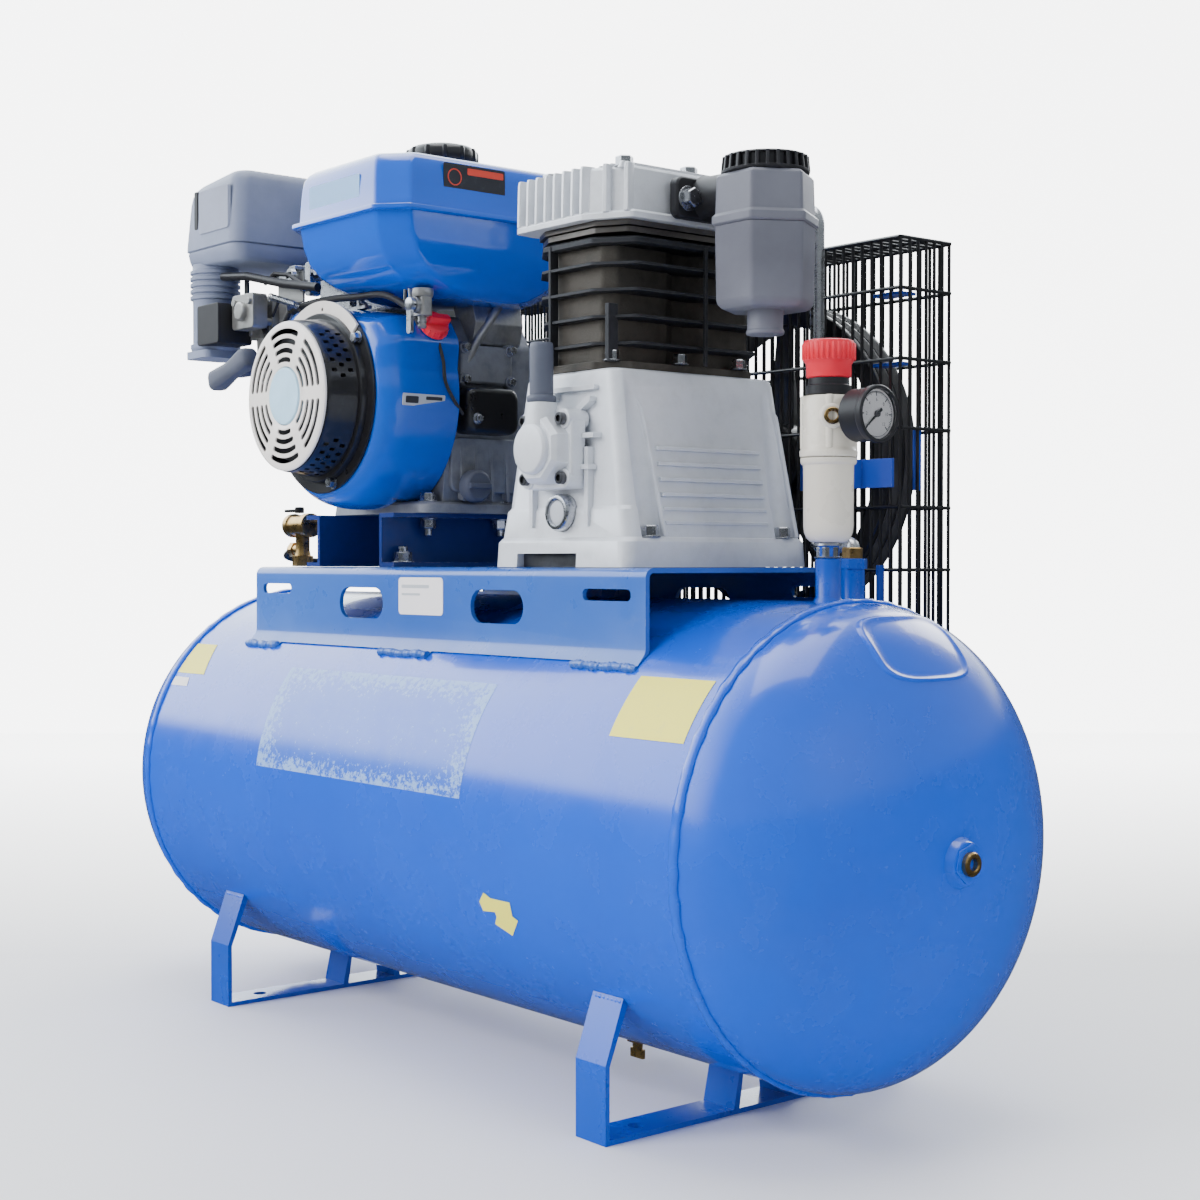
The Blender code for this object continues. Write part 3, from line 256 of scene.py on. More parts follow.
def label(name, rgb, wear):
    """Blank label, lightly scuffed."""
    graph = new_material(name)
    scuff = graph.noise(scale=140.0, detail=7.0, rough=0.7)
    mask = graph.remap(scuff, (0.55, 0.75), (0.0, wear))
    graph.set(Base_Color=graph.mix(mask, rgb, tint(rgb, 0.55, lift=0.2)), Roughness=0.42)
    graph.bump(scuff, strength=0.08, distance=0.0003)
    return graph.owner


def glass(name):
    graph = new_material(name)
    graph.set(Roughness=0.03, IOR=1.45, Transmission_Weight=1.0, Base_Color=(0.97, 0.98, 1.0))
    haze = graph.noise(scale=30.0, detail=2.0)
    graph.set(Roughness=graph.remap(haze, MIDDLE, (0.02, 0.05)))
    return graph.owner


def worn_panel(name):
    """Blue enamel with pale speckles, denser towards the rim of the panel."""
    graph = new_material(name)
    pale = (0.30, 0.50, 0.80)
    place = graph.axes(graph.coord())

    def rim(axis, shift, source):
        distance = graph.math("ABSOLUTE", graph.math("ADD", place[axis], shift))
        return graph.remap(distance, source, (0.0, 1.0))

    near_rim = graph.math("MAXIMUM", rim("X", 0.0195, (0.125, 0.163)),
                          rim("Z", -0.290, (0.024, 0.044)))
    speckle = graph.noise(scale=210.0, detail=9.0, rough=0.78)
    cloud = graph.noise(scale=34.0, detail=5.0, rough=0.6)
    density = graph.math("ADD", graph.math("MULTIPLY", near_rim, 0.17),
                         graph.math("MULTIPLY", cloud, 0.22))
    excess = graph.math("SUBTRACT", speckle, graph.math("SUBTRACT", 0.735, density))
    mask = graph.remap(excess, (-0.01, 0.03), (0.0, 1.0))
    base = graph.ramp(graph.noise(scale=3.5, detail=3.0),
                      (0.30, (0.0, 0.076, 0.60)), (0.62, (0.0, 0.088, 0.66)))
    haze = graph.mix(graph.math("MULTIPLY", cloud, 0.22), base, pale)
    graph.set(Base_Color=graph.mix(graph.math("MULTIPLY", mask, 0.75), haze, pale),
              Roughness=graph.remap(mask, (0.0, 1.0), (0.26, 0.55)), Coat_Weight=0.4)
    graph.bump(mask, strength=0.10, distance=0.0003)
    return graph.owner


TANK_BLUE = paint("m_tank_blue", (0.0, 0.088, 0.66), rough=0.24, peel=0.03, coat=0.75, dust=0.0,
                  shade=(0.0, 0.076, 0.60))
FOOT_BLUE = paint("m_foot_blue", (0.0, 0.075, 0.55), rough=0.28, coat=0.7, dust=0.15, wear=0.7,
                  under=(0.10, 0.07, 0.05))
DECK_BLUE = paint("m_plate_blue", (0.030, 0.13, 0.50), rough=0.30, peel=0.08, coat=0.45,
                  dust=0.22, shade=(0.018, 0.095, 0.42), wear=0.35)
RAIL_NAVY = paint("m_rail_navy", (0.002, 0.022, 0.17), rough=0.36, peel=0.08, coat=0.3,
                  dust=0.12, wear=0.4)
SHROUD_BLUE = paint("m_shroud_blue", (0.0, 0.085, 0.52), rough=0.20, peel=0.04, coat=0.9,
                    dust=0.04, shade=(0.0, 0.070, 0.43))
FUEL_BLUE = paint("m_fuel_blue", (0.0, 0.092, 0.60), rough=0.14, peel=0.02, coat=1.0, dust=0.02,
                  shade=(0.0, 0.080, 0.52))
ENGINE_CAST = cast("m_engine_cast", (0.29, 0.305, 0.345), rough=0.5, metallic=0.55)
PUMP_ALU = cast("m_pump_aluminium", (0.66, 0.69, 0.74), rough=0.44, metallic=0.35, grain=0.30,
                stain=0.12)
HEAD_ALU = cast("m_head_aluminium", (0.70, 0.725, 0.77), rough=0.38, metallic=0.45, grain=0.26,
                stain=0.14)
CARB_METAL = cast("m_carb_metal", (0.46, 0.46, 0.45), rough=0.38, metallic=0.8, grain=0.2,
                  stain=0.4)
BLOCK_IRON = cast("m_block_iron", (0.032, 0.034, 0.040), rough=0.48, metallic=0.45, grain=0.5,
                  stain=0.45, scale=600.0, painted_edge_highlight=0.5)
BARREL_IRON = cast("m_barrel_iron", (0.085, 0.078, 0.068), rough=0.55, metallic=0.5, grain=0.6,
                   stain=0.5, scale=500.0, painted_edge_highlight=0.1)
FILTER_GREY = plastic("m_filter_grey", (0.115, 0.12, 0.15), rough=0.42)
AIRBOX_GREY = plastic("m_airbox_grey", (0.175, 0.205, 0.30), rough=0.42)
BLACK_PLASTIC = plastic("m_black_plastic", (0.014, 0.014, 0.017), rough=0.42)
BREATHER_GREY = plastic("m_breather_grey", (0.075, 0.085, 0.12), rough=0.5)
RED_PLASTIC = plastic("m_red_plastic", (0.72, 0.012, 0.035), rough=0.34, grain=0.08, fade=0.08)
BLACK = paint("m_black_enamel", (0.010, 0.010, 0.012), rough=0.32, coat=0.4, dust=0.10,
              wear=0.15, under=(0.12, 0.12, 0.12))
WIRE_BLACK = paint("m_guard_wire", (0.009, 0.009, 0.011), rough=0.38, peel=0.05, coat=0.3,
                   dust=0.10)
WHITE = paint("m_white_enamel", (0.80, 0.77, 0.74), rough=0.30, peel=0.04, coat=0.5, dust=0.10,
              shade=(0.70, 0.67, 0.66))
CAP_BLUE = plastic("m_cap_blue", (0.38, 0.62, 0.80), rough=0.35, grain=0.06)
CREAM = paint("m_regulator_cream", (0.74, 0.71, 0.62), rough=0.30, coat=0.4, dust=0.12,
              shade=(0.64, 0.60, 0.52))
STEEL = metal("m_bright_steel", (0.62, 0.63, 0.66), rough=0.26)
ZINC = metal("m_zinc_bolt", (0.66, 0.67, 0.70), rough=0.24, brush=0.15, spots=0.3)
DARK_STEEL = metal("m_dark_steel", (0.16, 0.16, 0.17), rough=0.35)
BRASS = metal("m_brass", (0.66, 0.43, 0.17), rough=0.28, brush=0.2, spots=0.45)
BELT_RUBBER = rubber("m_belt_rubber")
CABLE = rubber("m_cable_black", (0.012, 0.012, 0.013), rough=0.55)
ROPE = rubber("m_starter_rope", (0.03, 0.03, 0.032), rough=0.85)
BRACKET_BLUE = paint("m_guard_bracket", (0.015, 0.06, 0.42), rough=0.34, peel=0.07, coat=0.4,
                     dust=0.12, wear=0.3)
YELLOW_LABEL = label("m_yellow_label", (0.86, 0.80, 0.10), wear=0.35)
STICKER = label("m_white_sticker", (0.80, 0.78, 0.80), wear=0.15)
STRIP = label("m_silver_strip", (0.42, 0.45, 0.50), wear=0.1)
BADGE_DARK = label("m_badge_dark", (0.02, 0.022, 0.03), wear=0.1)
BADGE_RED = label("m_badge_red", (0.60, 0.05, 0.03), wear=0.1)
BADGE_PALE = label("m_badge_pale", (0.22, 0.42, 0.70), wear=0.2)
GLASS = glass("m_gauge_glass")
WORN_BLUE = worn_panel("m_worn_panel")
PANEL_GREY = plastic("m_airbox_panel", (0.24, 0.27, 0.36), rough=0.5, grain=0.08)
VALVE_PLATE = metal("m_valve_plate", (0.26, 0.235, 0.215), rough=0.45, brush=0.3)


# ------------------------------------------------------------------- outlines
# Outlines are lists of 2-D points: the two coordinates left after the axis, in x, y, z order.
def polar(first, second, radius, degrees):
    angle = math.radians(degrees)
    return first + radius * math.cos(angle), second + radius * math.sin(angle)


def circle(first, second, radius, sides=24, start=0.0):
    angles = [start + 2 * math.pi * i / sides for i in range(sides)]
    return [(first + radius * math.cos(a), second + radius * math.sin(a)) for a in angles]


def arc(first, second, radius, start, end, steps):
    return [polar(first, second, radius, start + (end - start) * i / steps)
            for i in range(steps + 1)]


def fillet(points, radius, steps=8):
    """Round the corners of a closed outline; radius is one value or one per corner."""
    rounded_points = []
    for index, point in enumerate(points):
        corner = Vector(point)
        back = Vector(points[index - 1]) - corner
        ahead = Vector(points[(index + 1) % len(points)]) - corner
        longest = min(back.length * 0.49, ahead.length * 0.49)
        back.normalize()
        ahead.normalize()
        angle = back.angle(ahead)
        wanted = radius[index] if isinstance(radius, (list, tuple)) else radius
        if wanted <= 0 or angle > 3.10:
            rounded_points.append((corner.x, corner.y))
            continue
        reach = min(wanted / math.tan(angle / 2), longest)
        actual = reach * math.tan(angle / 2)
        centre = corner + (back + ahead).normalized() * (actual / math.sin(angle / 2))
        start, end = corner + back * reach - centre, corner + ahead * reach - centre
        start_angle = math.atan2(start.y, start.x)
        sweep = math.atan2(end.y, end.x) - start_angle
        sweep = (sweep + math.pi) % (2 * math.pi) - math.pi
        for i in range(steps + 1):
            turn = start_angle + sweep * i / steps
            rounded_points.append((centre.x + actual * math.cos(turn),
                                   centre.y + actual * math.sin(turn)))
    return rounded_points


def rounded(x0, x1, y0, y1, radius, steps=6):
    return fillet([(x0, y0), (x1, y0), (x1, y1), (x0, y1)], radius, steps)


def chamfered(x0, x1, y0, y1, cut_x, cut_y):
    return [(x0 + cut_x, y0), (x1 - cut_x, y0), (x1, y0 + cut_y), (x1, y1 - cut_y),
            (x1 - cut_x, y1), (x0 + cut_x, y1), (x0, y1 - cut_y), (x0, y0 + cut_y)]


def grow(points, first, second, scale, scale_second=None):
    """Scale an outline about a centre."""
    other = scale if scale_second is None else scale_second
    return [(first + (x - first) * scale, second + (y - second) * other) for x, y in points]


def bent_path(points, radius, steps=6):
    """3-D path with its corners eased."""
    points = [Vector(point) for point in points]
    path = [points[0]]
    for before, corner, after in zip(points, points[1:], points[2:]):
        back, ahead = before - corner, after - corner
        longest = min(back.length * 0.49, ahead.length * 0.49)
        back.normalize()
        ahead.normalize()
        angle = back.angle(ahead)
        reach = min(radius / max(math.tan(angle / 2), 1e-4), longest)
        start, end = corner + back * reach, corner + ahead * reach
        for i in range(steps + 1):
            t = i / steps
            path.append(start * (1 - t) ** 2 + corner * 2 * t * (1 - t) + end * t * t)
    path.append(points[-1])
    return path


def smooth_path(points, steps=8):
    """Catmull-Rom curve through the points."""
    points = [Vector(point) for point in points]
    padded = [points[0] * 2 - points[1]] + points + [points[-1] * 2 - points[-2]]
    path = []
    for p0, p1, p2, p3 in zip(padded, padded[1:], padded[2:], padded[3:]):
        for i in range(steps):
            t = i / steps
            path.append(0.5 * ((2 * p1) + (p2 - p0) * t + (2 * p0 - 5 * p1 + 4 * p2 - p3) * t * t
                               + (3 * p1 - p0 - 3 * p2 + p3) * t ** 3))
    path.append(points[-1])
    return path


# --------------------------------------------------------------------- solids
def to_3d(level, first, second, axis):
    if axis == "z":
        return Vector((first, second, level))
    if axis == "y":
        return Vector((first, level, second))
    return Vector((level, first, second))


def outward(mesh):
    bmesh.ops.recalc_face_normals(mesh, faces=mesh.faces)
    return mesh


def tidy(mesh):
    bmesh.ops.remove_doubles(mesh, verts=mesh.verts, dist=0.0005)
    return outward(mesh)


def bridge(mesh, lower, upper):
    """Band of quads between two closed rows of vertices."""
    for i in range(len(lower)):
        j = (i + 1) % len(lower)
        mesh.faces.new((lower[i], lower[j], upper[j], upper[i]))


def skin(mesh, rows):
    """Bands through all the rows and a cap at each end."""
    for lower, upper in zip(rows, rows[1:]):
        bridge(mesh, lower, upper)
    mesh.faces.new(rows[0])
    mesh.faces.new(list(reversed(rows[-1])))


def block(x0, x1, y0, y1, z0, z1):
    mesh = bmesh.new()
    bmesh.ops.create_cube(mesh, size=1.0)
    reshape(mesh, lambda x, y, z: ((x0 + x1) / 2 + x * (x1 - x0), (y0 + y1) / 2 + y * (y1 - y0),
                                   (z0 + z1) / 2 + z * (z1 - z0)))
    return tidy(mesh)


def loft(levels, axis="z"):
    """Closed solid through outlines; levels are (level along the axis, outline)."""
    mesh = bmesh.new()
    skin(mesh, [[mesh.verts.new(to_3d(level, *point, axis)) for point in outline]
                for level, outline in levels])
    return tidy(mesh)


def rounded_loft(rows, axis="z", steps=6):
    """Loft of rounded rectangles; rows are (level, low, high, low, high, corner radius)."""
    return loft([(level, rounded(*shape, steps)) for level, *shape in rows], axis)


def prism(outline, low, high, axis="z"):
    return loft([(low, outline), (high, outline)], axis)


def turned_rows(mesh, profile, first, second, axis, sides):
    return [[mesh.verts.new(to_3d(level, *point, axis))
             for point in circle(first, second, radius, sides)] for level, radius in profile]


def lathe(profile, first, second, axis="z", sides=48):
    """Solid of revolution; profile is (level, radius). A last radius of 0 closes to a point."""
    mesh = bmesh.new()
    tip_level, tip_radius = profile[-1]
    if tip_radius > 1e-6:
        skin(mesh, turned_rows(mesh, profile, first, second, axis, sides))
        return tidy(mesh)
    rows = turned_rows(mesh, profile[:-1], first, second, axis, sides)
    tip = mesh.verts.new(to_3d(tip_level, first, second, axis))
    for lower, upper in zip(rows, rows[1:]):
        bridge(mesh, lower, upper)
    last = rows[-1]
    for i in range(sides):
        mesh.faces.new((last[i], last[(i + 1) % sides], tip))
    mesh.faces.new(rows[0])
    return tidy(mesh)


def rod(low, high, radius, first, second, axis="z", sides=48):
    return lathe([(low, radius), (high, radius)], first, second, axis, sides)


def ring_lathe(profile, first, second, axis="z", sides=48):
    """Ring of revolution whose profile closes on itself."""
    mesh = bmesh.new()
    rows = turned_rows(mesh, profile, first, second, axis, sides)
    for lower, upper in zip(rows, rows[1:] + rows[:1]):
        bridge(mesh, lower, upper)
    return tidy(mesh)


def tube(path, radius, sides=10, mesh=None):
    """Swept round bar; radius is one value or one per point. Several can share one mesh."""
    own = mesh is None
    mesh = mesh or bmesh.new()
    points = [Vector(point) for point in path]
    rows = []
    start = (points[1] - points[0]).normalized()
    reference = Vector((0, 0, 1)) if abs(start.z) < 0.9 else Vector((1, 0, 0))
    side = start.cross(reference).normalized()
    for i, point in enumerate(points):
        along = (points[min(i + 1, len(points) - 1)] - points[max(i - 1, 0)]).normalized()
        side = (side - along * side.dot(along)).normalized()
        other = along.cross(side)
        here = radius[i] if isinstance(radius, (list, tuple)) else radius
        angles = [2 * math.pi * j / sides for j in range(sides)]
        rows.append([mesh.verts.new(point + (side * math.cos(a) + other * math.sin(a)) * here)
                     for a in angles])
    skin(mesh, rows)
    return outward(mesh) if own else mesh


def reshape(mesh, rule):
    """Move each vertex to rule(x, y, z)."""
    for vert in mesh.verts:
        vert.co = rule(*vert.co)
    return mesh


def turned(mesh, degrees, axis, centre=(0, 0, 0)):
    bmesh.ops.rotate(mesh, verts=mesh.verts, cent=Vector(centre),
                     matrix=Matrix.Rotation(math.radians(degrees), 3, axis))
    return mesh


def moved(mesh, x, y, z):
    for vert in mesh.verts:
        vert.co += Vector((x, y, z))
    return mesh


def aim(mesh, direction, at):
    """Turn a piece built along +Z to point along a direction, with its origin at a point."""
    turn = Vector((0, 0, 1)).rotation_difference(Vector(direction).normalized())
    for vert in mesh.verts:
        vert.co = turn @ vert.co + Vector(at)
    return mesh


def along_y(mesh, side, at_x, at_y, at_z):
    """Lay a piece built along +Z along +Y (side 1) or -Y (side -1)."""
    reshape(mesh, lambda x, y, z: (at_x + x, at_y + side * z, at_z + y))
    return outward(mesh)


def join(*meshes):
    """Several closed shells as one mesh, no boolean."""
    base = bmesh.new()
    for mesh in meshes:
        data = bpy.data.meshes.new("join")
        mesh.to_mesh(data)
        mesh.free()
        base.from_mesh(data)
        bpy.data.meshes.remove(data)
    return base


def to_object(mesh, name):
    data = bpy.data.meshes.new(name)
    mesh.to_mesh(data)
    mesh.free()
    obj = bpy.data.objects.new(name, data)
    COLL.objects.link(obj)
    return obj


def boolean(operation, base, *others):
    for other in others:
        target, tool = to_object(base, "work_a"), to_object(other, "work_b")
        modifier = target.modifiers.new("cut", "BOOLEAN")
        modifier.operation = operation
        modifier.solver = "EXACT"
        modifier.object = tool
        bpy.context.view_layer.update()
        evaluated = target.evaluated_get(bpy.context.evaluated_depsgraph_get())
        result = bpy.data.meshes.new_from_object(evaluated)
        base = bmesh.new()
        base.from_mesh(result)
        for obj in (target, tool):
            old = obj.data
            bpy.data.objects.remove(obj, do_unlink=True)
            bpy.data.meshes.remove(old)
        bpy.data.meshes.remove(result)
    return base


def cut(base, *others):
    return boolean("DIFFERENCE", base, *others)


def add_bevel(obj, width, segments=2, limit=28):
    modifier = obj.modifiers.new("bevel", "BEVEL")
    modifier.width = width * MM
    modifier.segments = segments
    modifier.limit_method = "ANGLE"
    modifier.angle_limit = math.radians(limit)
    modifier.harden_normals = True
    return modifier


def piece(name, mesh, material, body=ROOT, replaces=None, bevel=0.0, smooth=32, segments=2,
          limit=28):
    """Finish a mesh in millimetres as a named, shaded object that rides on a body."""
    for vert in mesh.verts:
        vert.co = vert.co * MM
    obj = to_object(mesh, name)
    obj.data.materials.append(material)
    for polygon in obj.data.polygons:
        polygon.use_smooth = True
    if bevel > 0:
        add_bevel(obj, bevel, segments, limit).use_clamp_overlap = True
    else:
        obj.data.set_sharp_from_angle(angle=math.radians(smooth))
    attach(obj, body)
    if replaces:
        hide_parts(replaces)


def dress(node_name, material, bevel):
    """Keep a frame node as it is, with a material and an edge radius."""
    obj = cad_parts[node_name]
    obj.data.materials.clear()
    obj.data.materials.append(material)
    for polygon in obj.data.polygons:
        polygon.use_smooth = True
    add_bevel(obj, bevel)


def hexbolt(flats, height, washer=True):
    """Bolt head along +Z from z = 0."""
    radius = flats / math.sqrt(3)
    seat = 1.1 if washer else 0.0
    hexagon = circle(0, 0, radius, 6)
    parts = [loft([(seat, hexagon), (seat + height - 0.9, hexagon),
                   (seat + height, circle(0, 0, radius * 0.86, 6))])]
    if washer:
        parts.insert(0, lathe([(0, radius * 1.25), (seat, radius * 1.25), (seat, 0)],
                              0, 0, "z", 28))
    return join(*parts)


def bolt(name, flats, height, at, facing=UP, washer=True, bevel=0.35, body=ROOT, material=ZINC):
    piece(name, aim(hexbolt(flats, height, washer), facing, at), material, body, bevel=bevel)


def bead(path, radius, seed, sides=8, lump=0.16):
    """Weld bead: a rippled rope of metal laid along a path."""
    rng = random.Random(seed)
    phase = rng.random() * 6
    radii = []
    travel = 0.0
    last = Vector(path[0])
    for point in map(Vector, path):
        travel += (point - last).length
        last = point
        radii.append(radius * (1 + lump * math.sin(travel * 1.35 + phase)
                               + lump * 0.6 * math.sin(travel * 0.31 + 2 * phase)
                               + rng.uniform(-0.06, 0.06)))
    return tube(path, radii, sides)


# ------------------------------------------------------------------- receiver
piece("receiver_barrel",
      ring_lathe([(SEAM * part, TANK_R) for part in (-1, -0.5, 0, 0.5, 1)]
                 + [(SEAM, TANK_R - TANK_WALL), (-SEAM, TANK_R - TANK_WALL)],
                 0, TANK_Z, "x", 192),
      TANK_BLUE, replaces="tank_barrel", smooth=40)


def dish(side, steps=30):
    """Elliptical end of the receiver, 0.3 clear of the seam."""
    profile = [(side * (SEAM + 0.3), TANK_R - TANK_WALL)]
    for i in range(steps + 1):
        turn = math.pi / 2 * i / steps
        radius = TANK_R * math.cos(turn) if i < steps else 0.0
        profile.append((side * (SEAM + 0.3 + HEAD_DEPTH * math.sin(turn) * 0.9985), radius))
    return lathe(profile, 0, TANK_Z, "x", 192)


for side, side_name in SIDES:
    piece("receiver_head_" + side_name, dish(side), TANK_BLUE, replaces="tank_head_" + side_name,
          smooth=40)

for side, side_name in SIDES:
    path = [(side * (SEAM + 0.4), *point)
            for point in arc(0, TANK_Z, TANK_R + 0.3, 0, 360, 300)]
    weld = bead(path, 2.6, 3 + side, 10, 0.10)
    reshape(weld, lambda x, y, z: (side * SEAM + (x - side * SEAM) * 1.9, y, z))
    piece("girth_weld_" + side_name, weld, TANK_BLUE, smooth=70)

# raised pad, a squared oval, for the data plate on the right head
PAD_Y, PAD_Z, PAD_HALF_Y, PAD_HALF_Z, PAD_POWER = 7.5, 371.0, 49, 22.5, 0.55
PAD_ROWS = [(1.06, -0.3), (1.03, 0.9), (1.0, 1.7), (0.955, 1.7), (0.93, 0.75), (0.8, 0.7),
            (0.6, 0.7), (0.4, 0.7), (0.2, 0.7)]     # outline scale, height above the head


def pad_outline(scale, sides=72):
    points = []
    for i in range(sides):
        turn = 2 * math.pi * i / sides
        cosine, sine = math.cos(turn), math.sin(turn)
        points.append((PAD_Y + PAD_HALF_Y * math.copysign(abs(cosine) ** PAD_POWER, cosine) * scale,
                       PAD_Z + PAD_HALF_Z * math.copysign(abs(sine) ** PAD_POWER, sine) * scale))
    return points


def on_head(y, z, height):
    """Point at a height above the right dished head."""
    radial = (y * y + (z - TANK_Z) ** 2) / TANK_R ** 2
    x = SEAM + HEAD_DEPTH * math.sqrt(max(0.0, 1 - radial))
    normal = Vector(((x - SEAM) / HEAD_DEPTH ** 2, y / TANK_R ** 2, (z - TANK_Z) / TANK_R ** 2))
    return Vector((x, y, z)) + normal.normalized() * height


def data_plate_pad():
    mesh = bmesh.new()
    rows = [[mesh.verts.new(on_head(y, z, height)) for y, z in pad_outline(scale)]
            for scale, height in PAD_ROWS]
    for lower, upper in zip(rows, rows[1:]):
        bridge(mesh, lower, upper)
    centre = mesh.verts.new(on_head(PAD_Y, PAD_Z, PAD_ROWS[-1][1]))
    last = rows[-1]
    for i in range(len(last)):
        mesh.faces.new((last[i], last[(i + 1) % len(last)], centre))
    return outward(mesh)


piece("data_plate_pad", data_plate_pad(), TANK_BLUE, smooth=60)


def on_barrel(x, degrees, height):
    """Point above the barrel at an angle from the top, positive towards the front."""
    angle = math.radians(degrees)
    return Vector((x, -(TANK_R + height) * math.sin(angle),
                   TANK_Z + (TANK_R + height) * math.cos(angle)))


def patch(corners, height=0.35, across=24, down=12):
    """Thin label wrapped on the barrel; corners are (x, degrees) in order round it."""
    mesh = bmesh.new()
    grid = []
    for j in range(down + 1):
        v = j / down
        row = []
        for i in range(across + 1):
            u = i / across
            x, degrees = ((c0 * (1 - u) + c1 * u) * (1 - v) + (c3 * (1 - u) + c2 * u) * v
                          for c0, c1, c2, c3 in zip(*corners))
            row.append(mesh.verts.new(on_barrel(x, degrees, height)))
        grid.append(row)
    for j in range(down):
        for i in range(across):
            mesh.faces.new((grid[j][i], grid[j + 1][i], grid[j + 1][i + 1], grid[j][i + 1]))
    return mesh


piece("weathered_panel", patch([(-183, 51.2), (144, 51.2), (144, 82.0), (-183, 82.0)],
                               height=0.22, across=60, down=16), WORN_BLUE, smooth=60)
for name, corners, material in (
        ("label_right", [(308, 45.5), (390, 45.5), (390, 62.1), (308, 62.1)], YELLOW_LABEL),
        ("label_left_upper", [(-396, 45.0), (-355, 45.0), (-340, 56.5), (-396, 56.5)],
         YELLOW_LABEL),
        ("label_left_lower", [(-396, 58.0), (-366, 58.0), (-362, 61.0), (-396, 61.0)], STICKER)):
    piece(name, patch(corners), material, smooth=60)

# arrow-shaped tag on the lower front of the barrel: x, y, z of its corners
DRAIN_TAG = [(163, -173, 166), (172, -173, 175), (180, -174, 171), (205, -178, 170),
             (204, -176, 158), (210, -176, 155), (195, -170, 140), (176, -171, 148),
             (182, -172, 151), (181, -173, 160), (165, -172, 158)]


def drain_tag():
    mesh = bmesh.new()
    spots = [(x, math.degrees(math.atan2(-y, z - TANK_Z))) for x, y, z in DRAIN_TAG]
    middle = [sum(values) / len(spots) for values in zip(*spots)]
    centre = mesh.verts.new(on_barrel(*middle, 0.5))
    verts = [mesh.verts.new(on_barrel(*spot, 0.5)) for spot in spots]
    for i in range(len(verts)):
        mesh.faces.new((centre, verts[(i + 1) % len(verts)], verts[i]))
    return outward(mesh)


piece("drain_tag", drain_tag(), YELLOW_LABEL, smooth=60)

# feet, with the weld where each leg meets the barrel
FOOT_X, FOOT_WIDTH = 288.6, 34
FOOT_ANGLE = math.atan2(143.9, TANK_Z - 103.0) + 0.02
WELD_R = TANK_R + 1.5
for side, side_name in SIDES:
    dress("foot_" + side_name, FOOT_BLUE, 0.7)
    for face, face_name in FACES:
        path = [(side * FOOT_X - FOOT_WIDTH / 2 + FOOT_WIDTH * i / 30,
                 face * WELD_R * math.sin(FOOT_ANGLE), TANK_Z - WELD_R * math.cos(FOOT_ANGLE))
                for i in range(31)]
        piece(f"foot_weld_{side_name}_{face_name}", bead(path, 2.3, 11 + face + side), TANK_BLUE,
              smooth=70)

# ----------------------------------------------------------------- deck plate
DECK_TOP, DECK_THICK, DECK_X, DECK_Y, DECK_BEND = 430.0, 4, 297.0, 118.5, 8
DECK_WINDOWS = [(-140, -66.5, 383, 411.2, 13.5), (69.5, 143.5, 383, 411.2, 13.5),
                (221, 279.6, 404.2, 413.6, 4.4), (-283, -229, 404.2, 413.6, 4.4)]
DECK_WELDS = [(-297, -239), (-54, 20), (219, 297)]      # x spans


def deck_bend(radius):
    return arc(DECK_Y - DECK_BEND, DECK_TOP - DECK_BEND, radius, 0, 90, 10)


# channel section in (y, z): the +Y half outside and inside, then mirrored
outer = [(128.2, 354.0), (119.7, 364.0), (DECK_Y, 367.5)] + deck_bend(DECK_BEND)
inner = ([(124.8, 356.9), (DECK_Y - 3.4, 364.7), (DECK_Y - DECK_THICK, 367.5)]
         + deck_bend(DECK_BEND - DECK_THICK))
section = (outer + [(-y, z) for y, z in reversed(outer)] + [(-y, z) for y, z in inner]
           + list(reversed(inner)))
cutters = [prism(rounded(*window, 8), -150, 150, "y") for window in DECK_WINDOWS]
# relief of the front lower edge between the welds
cutters += [prism([(-126.5, 350), (-131, 350), (-131, 357.2), (-123.0, 357.2)], x0, x1, "x")
            for x0, x1 in ((-237, -55), (21, 217))]
piece("deck_plate", cut(prism(section, -DECK_X, DECK_X, "x"), *cutters), DECK_BLUE,
      replaces="platform_plate", bevel=0.7)
for k, (x0, x1) in enumerate(DECK_WELDS):
    for face, face_name in FACES:
        steps = int((x1 - x0) / 1.6)
        path = [(x0 + (x1 - x0) * i / steps, face * (128.4 + 0.6 * math.sin(i * 0.7 + k)),
                 353.9 + 0.5 * math.sin(i * 0.23)) for i in range(steps + 1)]
        piece(f"deck_weld_{k}_{face_name}", bead(path, 3.3, 20 + k, 8, 0.22), DECK_BLUE, smooth=70)
piece("deck_sticker", prism(rounded(-40, 29, 388, 421, 4, 5), -DECK_Y - 0.5, -DECK_Y - 0.02, "y"),
      STICKER, smooth=40)
rules = [prism(rounded(*shape, 2), -DECK_Y - 0.65, -DECK_Y - 0.5, "y")
         for shape in ((-35, 8, 411.5, 414.5, 1), (-35, -6, 405, 407, 0.8))]
piece("deck_sticker_rules", join(*rules), STRIP, smooth=40)

# ------------------------------------------------------------- rails and bolts
RAIL_X = (-222.5, -91.5)
for _, side_name in SIDES:
    dress("engine_rail_" + side_name, RAIL_NAVY, 0.9)


def stud(x, y, top, bottom):
    """Bolt head above the top level, nut and tail below the bottom level."""
    lower = join(hexbolt(13.0, 9.0),
                 lathe([(8.5, 4.0), (16, 4.0), (17, 3.2), (17, 0)], 0, 0, "z", 18))
    reshape(lower, lambda x, y, z: (x, y, -z))
    bmesh.ops.reverse_faces(lower, faces=lower.faces)
    return join(moved(hexbolt(13.0, 7.5), x, y, top), moved(lower, x, y, bottom))


